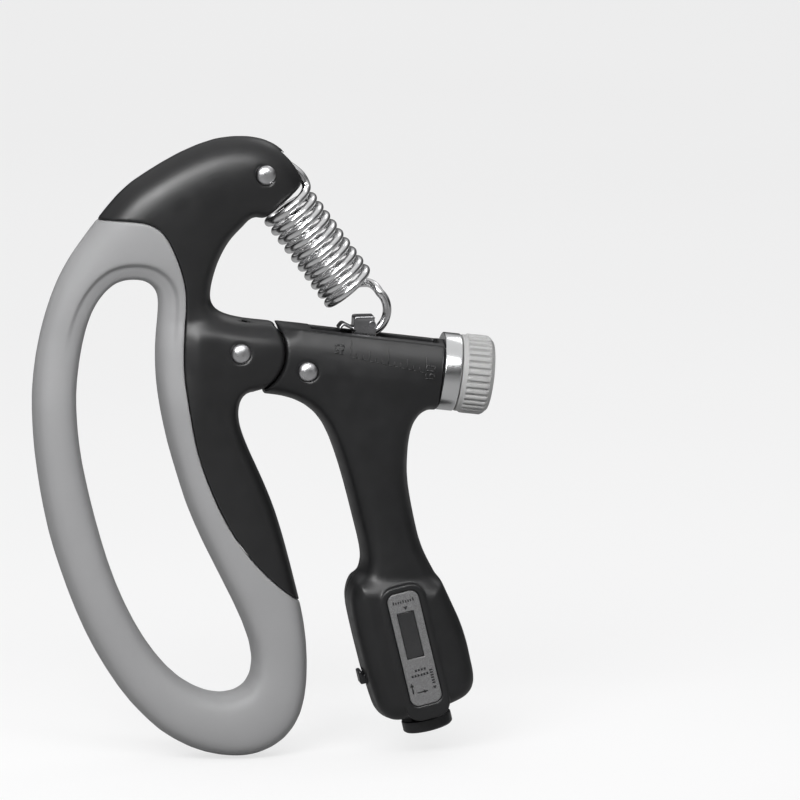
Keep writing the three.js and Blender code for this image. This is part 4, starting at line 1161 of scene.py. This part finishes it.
marks = [triangle_down(0.35, 32.5, 0.62)]
for k in range(9):          # tally strokes over the window
    u = -2.6 + 0.68 * k
    marks.append(bar(u, 33.95, u, 33.95 + (0.92 if k % 4 == 0 else 0.66), 0.33))
for v, count, start in ((15.1, 4, -1.2), (13.7, 6, -2.4)):     # dashes under the window
    for k in range(count):
        marks.append(bar(start + 0.82 * k, v, start + 0.82 * k + 0.56, v, 0.62))
for k in range(6):          # side ladder
    marks.append(bar(2.7, 14.4 - 0.72 * k, 3.55, 14.4 - 0.72 * k, 0.42))
marks += [
    triangle_down(3.1, 9.5, 0.55),
    # arrow up the label
    bar(-2.95, 9.0, -2.95, 11.0, 0.36),
    [(-2.95, 12.1), (-2.45, 10.9), (-3.45, 10.9)],
    # arrow across it
    bar(-1.9, 9.05, 0.1, 9.05, 0.34),
    [(1.2, 9.05), (0.0, 9.5), (0.0, 8.6)],
]
put("label_marks", join([printed(outline) for outline in marks]), INK, "rear_handle",
    "label_grey", smooth=False)


# ------------------------------------------------------------------ counter works
def trigger_button(grid):
    u, v = COUNTER.coords(grid.flat_x, grid.flat_z)
    y = np.abs(grid.y)
    stem = pocket(rect(u, v, (-15.4, -8.6), (13.35, 17.05), 0.35), 2.95 - y, 0.5)
    flange = pocket(rect(u, v, (-9.1, -8.0), (12.3, 18.3), 0.2), 4.4 - y, 0.3)
    notch = extrude(rect(u, v, (-14.3, -13.3), (15.9, 18.2), 0.2))
    return cut(unite(stem, flange, 0.3), notch, 0.3)


carve_counter("trigger_button_black", trigger_button, (-15.6, -7.9), (12.2, 18.5), (-5, 5),
              0.24, BLACK_BUTTON, "trigger", "black_plastic", "trigger_button")


# turned profiles are (radius, distance up the counter's axis)
def lathe_counter(profile, count):
    return lathe(profile, COUNTER.origin, COUNTER.v, COUNTER.u, count)


reset = fillet([(1.58, -0.95), (1.58, 4.0), (3.88, 4.0), (3.88, 0.25), (6.8, 0.25),
                (6.8, -2.55), (6.2, -3.08), (1.4, -3.08)], 0.4, 4)
reset = np.vstack([[(0, -0.95)], reset, [(1.1, -2.75), (0, -2.75)]])
put("reset_knob_black", lathe_counter(subdivide(reset, 0.35), 96), BLACK_BUTTON, "reset",
    "black_plastic", "reset_knob", sharp=45)
shaft = fillet([(0, -0.85), (1.45, -0.85), (1.45, 34.1), (0, 34.1)], 0.25, 3)
put("counter_shaft_steel", lathe_counter(shaft, 40), THREAD, "reset", "screw_steel",
    "counter_shaft", sharp=45)

# seven-stroke numerals: strokes of each digit, and stroke ends in a unit box
DIGITS = ("abcdef", "bc", "abged", "abgcd", "fgbc", "afgcd", "afgedc", "abc", "abcdefg", "abcdfg")
STROKES = {"a": (0, 1, 1, 1), "b": (1, 0.5, 1, 1), "c": (1, 0, 1, 0.5), "d": (0, 0, 1, 0),
           "e": (0, 0, 0, 0.5), "f": (0, 0.5, 0, 1), "g": (0, 0.5, 1, 0.5)}


def digit_strokes(digit, width, height):
    """Strokes (x0, y0, x1, y1) of one numeral."""
    size = (width, height, width, height)
    return [[a * b for a, b in zip(STROKES[key], size)] for key in DIGITS[digit]]


WHEEL_START, WHEEL_PITCH = 18.7, 3.12
NUMERAL_WIDTH, NUMERAL_HEIGHT = 1.35, 2.1
BOX_FACES = np.array([[0, 1, 2, 3], [7, 6, 5, 4], [0, 4, 5, 1],
                      [1, 5, 6, 2], [2, 6, 7, 3], [3, 7, 4, 0]])


def drum_numerals(middle, shown):
    """Numerals round a drum; their width lies along its axis, shown is turned to -Y."""
    parts = []
    for digit in range(10):
        angle = math.radians(-90 + 36 * (digit + shown))
        for x0, y0, x1, y1 in digit_strokes(digit, NUMERAL_WIDTH, NUMERAL_HEIGHT):
            dx, dy = NUMERAL_WIDTH / 2, NUMERAL_HEIGHT / 2
            corners = bar(x0 - dx, y0 - dy, x1 - dx, y1 - dy, 0.3)
            v = []
            for radius in (7.48, 7.60):
                for along, around in corners:
                    a = angle + around / 7.5
                    v.append(COUNTER.origin + COUNTER.v * (middle + along)
                             + COUNTER.u * (radius * math.cos(a))
                             + Y_AXIS * (radius * math.sin(a)))
            parts.append(outward(np.array(v), [BOX_FACES]))
    return join(parts)


for i, (name, shown) in enumerate((("units", 0), ("tens", 3), ("hundreds", 7),
                                   ("thousands", 1))):
    start = WHEEL_START + WHEEL_PITCH * i
    drum = fillet(np.array([(1.6, 1.0), (1.6, 0), (6.9, 0), (7.1, 0.15), (7.52, 0.3),
                            (7.52, 2.7), (7.1, 2.85), (6.9, 3.0), (1.6, 3.0), (1.6, 1.6)])
                  + [0, start], 0.12, 2)
    put(f"wheel_{name}_drum", lathe_counter(drum, 80), WHITE, name, "white_plastic",
        f"wheel_{name}", sharp=45)
    put(f"wheel_{name}_numerals", drum_numerals(start + 1.5, shown), INK, name,
        "black_plastic", smooth=False)

# return spring of the button: one end stays in the housing, the other follows the button
RETURN_START, RETURN_LENGTH, RETURN_RADIUS, RETURN_V = -7.55, 4.35, 1.35, 14.35
controls = []
for i in range(65):
    a = 2 * np.pi * i / 16
    controls.append(COUNTER.at(RETURN_START + RETURN_LENGTH * i / 64,
                               RETURN_V + RETURN_RADIUS * math.cos(a),
                               RETURN_RADIUS * math.sin(a)))
wire = tube(spline(controls, 260), 0.27, 10)
spring = put("trigger_spring_wire", wire, SPRING, "rear_handle", "spring_steel",
             "trigger_spring")
weights = np.clip((-3.25 - (wire[0] - COUNTER.origin) @ COUNTER.u) / 4.2, 0, 1)
follow(spring, "press", weights, 100, "press_anchor", COUNTER.at(RETURN_START, RETURN_V),
       "trigger")


# ------------------------------------------------------------------ scale on the beam
def on_beam(u, v, lift):
    """Place lift above the beam's near face."""
    x, z = BEAM.flat(u, v)
    half = math.sqrt(max(value_at(rear_grid, rear_thick2, x, z), 0.01))
    return point(x, z, -half - lift)


def ridge(u0, v0, u1, v1, width, height, steps):
    """Raised stroke that follows the beam's surface, lower at its ends."""
    length = math.hypot(u1 - u0, v1 - v0)
    side_u, side_v = -(v1 - v0) / length, (u1 - u0) / length
    section = [(-0.5, -0.12), (-0.42, 0.6 * height), (-0.2, height), (0.2, height),
               (0.42, 0.6 * height), (0.5, -0.12)]
    rings = []
    for k in range(steps + 1):
        u, v = u0 + (u1 - u0) * k / steps, v0 + (v1 - v0) * k / steps
        top = 0.25 * height if k in (0, steps) else height
        rings.append([on_beam(u + side_u * offset * width, v + side_v * offset * width,
                              min(lift, top)) for offset, lift in section])
    rings = np.array(rings)
    return capped(rings, rings[0].mean(0), rings[-1].mean(0))


SCALE_START, SCALE_END, SCALE_STEPS = -25.6, -4.9, 12
SCALE_LENGTH = SCALE_END - SCALE_START
NUMERAL_SIZE = 2.3
strokes = []
for k in range(SCALE_STEPS + 1):        # ticks
    u = SCALE_START + SCALE_LENGTH * k / SCALE_STEPS
    foot = 2.6 - 2.2 * k / SCALE_STEPS - 0.4
    tall = 4.2 if k % 6 == 0 else (2.6 if k % 3 == 0 else 1.3)
    strokes.append(ridge(u, foot, u, foot + tall, width=0.36, height=0.19, steps=6))
for k in range(SCALE_STEPS):            # broken base line
    u0, u1 = (SCALE_START + SCALE_LENGTH * (k + part) / SCALE_STEPS for part in (0.15, 0.85))
    v0, v1 = (2.2 - 2.2 * n / SCALE_STEPS for n in (k, k + 1))
    strokes.append(ridge(u0, v0, u1, v1, width=0.30, height=0.16, steps=3))
# numerals turned a quarter, reading up across the beam
for digits, u, v in (((1, 0), -27.6, 1.6), ((6, 0), -2.4, -1.4)):
    for n, digit in enumerate(digits):
        base = v + n * 2.1
        for x0, y0, x1, y1 in digit_strokes(digit, NUMERAL_SIZE * 0.55, NUMERAL_SIZE):
            strokes.append(ridge(u - y0, base + x0, u - y1, base + x1,
                                 width=0.42, height=0.2, steps=4))
put("beam_scale_relief", join(strokes), BLACK, "rear_handle", "black_plastic", sharp=50)

# ------------------------------------------------------------------ the frame's own parts
for name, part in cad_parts.items():
    if not part.hide_render:
        part.data.materials.clear()
        part.data.materials.append(WHITE if name == "counter_frame" else BLACK)


# ------------------------------------------------------------------ studio, in metres
def floor_material():
    """Bright floor for the camera, a plainer grey one for bounced light."""
    made, sh = material("studio_floor")
    rays = sh.add("LightPath").outputs
    seen = sh.two_tone(sh.remap(sh.noise(1.6, 2.0), 0, 1),
                       (0.215, 0.215, 0.216), (0.24, 0.24, 0.241))
    lit = sh.two_tone(rays["Is Glossy Ray"], (0.46, 0.46, 0.46), (0.34, 0.34, 0.34))
    color = sh.add("Mix", data_type="RGBA")
    sh.feed(color, {"Factor": rays["Is Camera Ray"], "A": lit, "B": seen})
    rough = sh.remap(sh.noise(9.0, 2.0), 0.85, 0.95)
    glow = sh.add("Math", {1: 0.705, 0: rays["Is Camera Ray"]}, operation="MULTIPLY")
    sh.feed(sh.principled, {"Base Color": color.outputs["Result"], "Roughness": rough,
                            "Specular IOR Level": 0.05, "Emission Color": (1, 1, 1, 1),
                            "Emission Strength": glow.outputs[0]})
    return made


def studio_floor(height=-0.0846, count=24):
    vertices = [(x, y, height) for y in np.linspace(-4.0, 4.6, count)
                for x in np.linspace(-4.6, 4.6, count)]
    quads = [(i * count + j, i * count + j + 1, (i + 1) * count + j + 1, (i + 1) * count + j)
             for i in range(count - 1) for j in range(count - 1)]
    finish = floor_material()
    data = bpy.data.meshes.new("studio_floor")
    data.from_pydata(vertices, [], quads)
    data.shade_smooth()
    data.materials.append(finish)
    floor = bpy.data.objects.new("studio_floor", data)
    bpy.context.scene.collection.objects.link(floor)


def camera(azimuth, elevation, distance, lens, shift_right, shift_down):
    """Look at a point shifted from the pivot, from the near side; angles in degrees."""
    turn, rise = math.radians(azimuth), math.radians(elevation)
    right = Vector((math.cos(turn), math.sin(turn), 0))
    back = Vector((math.sin(turn) * math.cos(rise), -math.cos(turn) * math.cos(rise),
                   math.sin(rise)))
    up = back.cross(right)
    aim = Vector(to_frame(point(0, 0))) + right * shift_right - up * shift_down
    data = bpy.data.cameras.new("camera")
    data.sensor_width = 36.0
    data.lens = lens
    data.clip_start, data.clip_end = 0.02, 20
    eye = bpy.data.objects.new("camera", data)
    bpy.context.scene.collection.objects.link(eye)
    eye.location = aim + back * distance
    eye.rotation_mode = "QUATERNION"
    eye.rotation_quaternion = Matrix((right, up, back)).transposed().to_quaternion()
    bpy.context.scene.camera = eye


def area(name, place, target, size, power, spread=180):
    data = bpy.data.lights.new(name, "AREA")
    data.shape = "RECTANGLE"
    data.size, data.size_y = size
    data.energy = power
    data.spread = math.radians(spread)
    lamp = bpy.data.objects.new(name, data)
    bpy.context.scene.collection.objects.link(lamp)
    lamp.location = place
    lamp.rotation_mode = "QUATERNION"
    lamp.rotation_quaternion = (Vector(target) - Vector(place)).to_track_quat("-Z", "Y")
    lamp.visible_camera = False


def studio_world():
    """Sky bright overhead, a light wall at +Y for diffuse rays, white for the camera."""
    world = bpy.data.worlds.new("studio")
    bpy.context.scene.world = world
    world.use_nodes = True
    sh = Shader(world.node_tree)
    output = sh.add("OutputWorld")
    background = sh.add("Background", {1: 0.5})
    coords = sh.add("TexCoord").outputs["Generated"]
    axes = sh.add("SeparateXYZ", {0: coords}).outputs
    sky = sh.add("ValToRGB")
    height = sh.add("MapRange", {"From Min": -1, "From Max": 1, "Value": axes["Z"]})
    sh.feed(sky, {0: height.outputs["Result"]})
    stops = sky.color_ramp.elements
    stops[0].position, stops[0].color = 0.0, (0.06, 0.06, 0.061, 1)
    stops[1].position, stops[1].color = 1.0, (1.35, 1.35, 1.35, 1)
    for position, grey in ((0.46, 0.05), (0.56, 0.05), (0.68, 0.26), (0.80, 1.05)):
        stops.new(position).color = (grey, grey, grey * 1.01, 1)
    rays = sh.add("LightPath").outputs
    seen = sh.add("Mix", data_type="RGBA")
    behind = sh.add("MapRange", {"From Min": 0.1, "From Max": 0.9, "Value": axes["Y"]})
    diffuse = sh.add("Math", {0: behind.outputs["Result"], 1: rays["Is Diffuse Ray"]},
                     operation="MULTIPLY")
    wall = sh.add("Mix", {"Factor": diffuse.outputs[0], "A": sky.outputs[0],
                          "B": (1.7, 1.7, 1.71, 1)}, data_type="RGBA")
    sh.feed(seen, {"Factor": rays["Is Camera Ray"], "A": wall.outputs["Result"],
                   "B": (1.6, 1.6, 1.61, 1)})
    sh.feed(background, {0: seen.outputs["Result"]})
    sh.feed(output, {0: background.outputs[0]})


studio_floor()
camera(azimuth=-8.0, elevation=8.5, distance=3.0, lens=502.2,
       shift_right=0.0437, shift_down=0.01356)
area("key", (-0.34, -0.62, 0.42), (-0.03, 0, 0.05), size=(0.36, 0.34), power=0.58, spread=60)
area("strip", (-0.02, -0.60, 0.50), (-0.02, 0, 0.06), size=(0.60, 0.20), power=0.55, spread=70)
area("fill", (0.9, -0.9, 0.25), (0, 0, 0), size=(0.35, 0.9), power=0.3)
area("rim", (0.5, 0.5, 0.9), (0, 0, 0), size=(0.5, 0.3), power=0.9)
studio_world()
bpy.context.scene.view_settings.view_transform = "Standard"
bpy.context.scene.view_settings.look = "None"
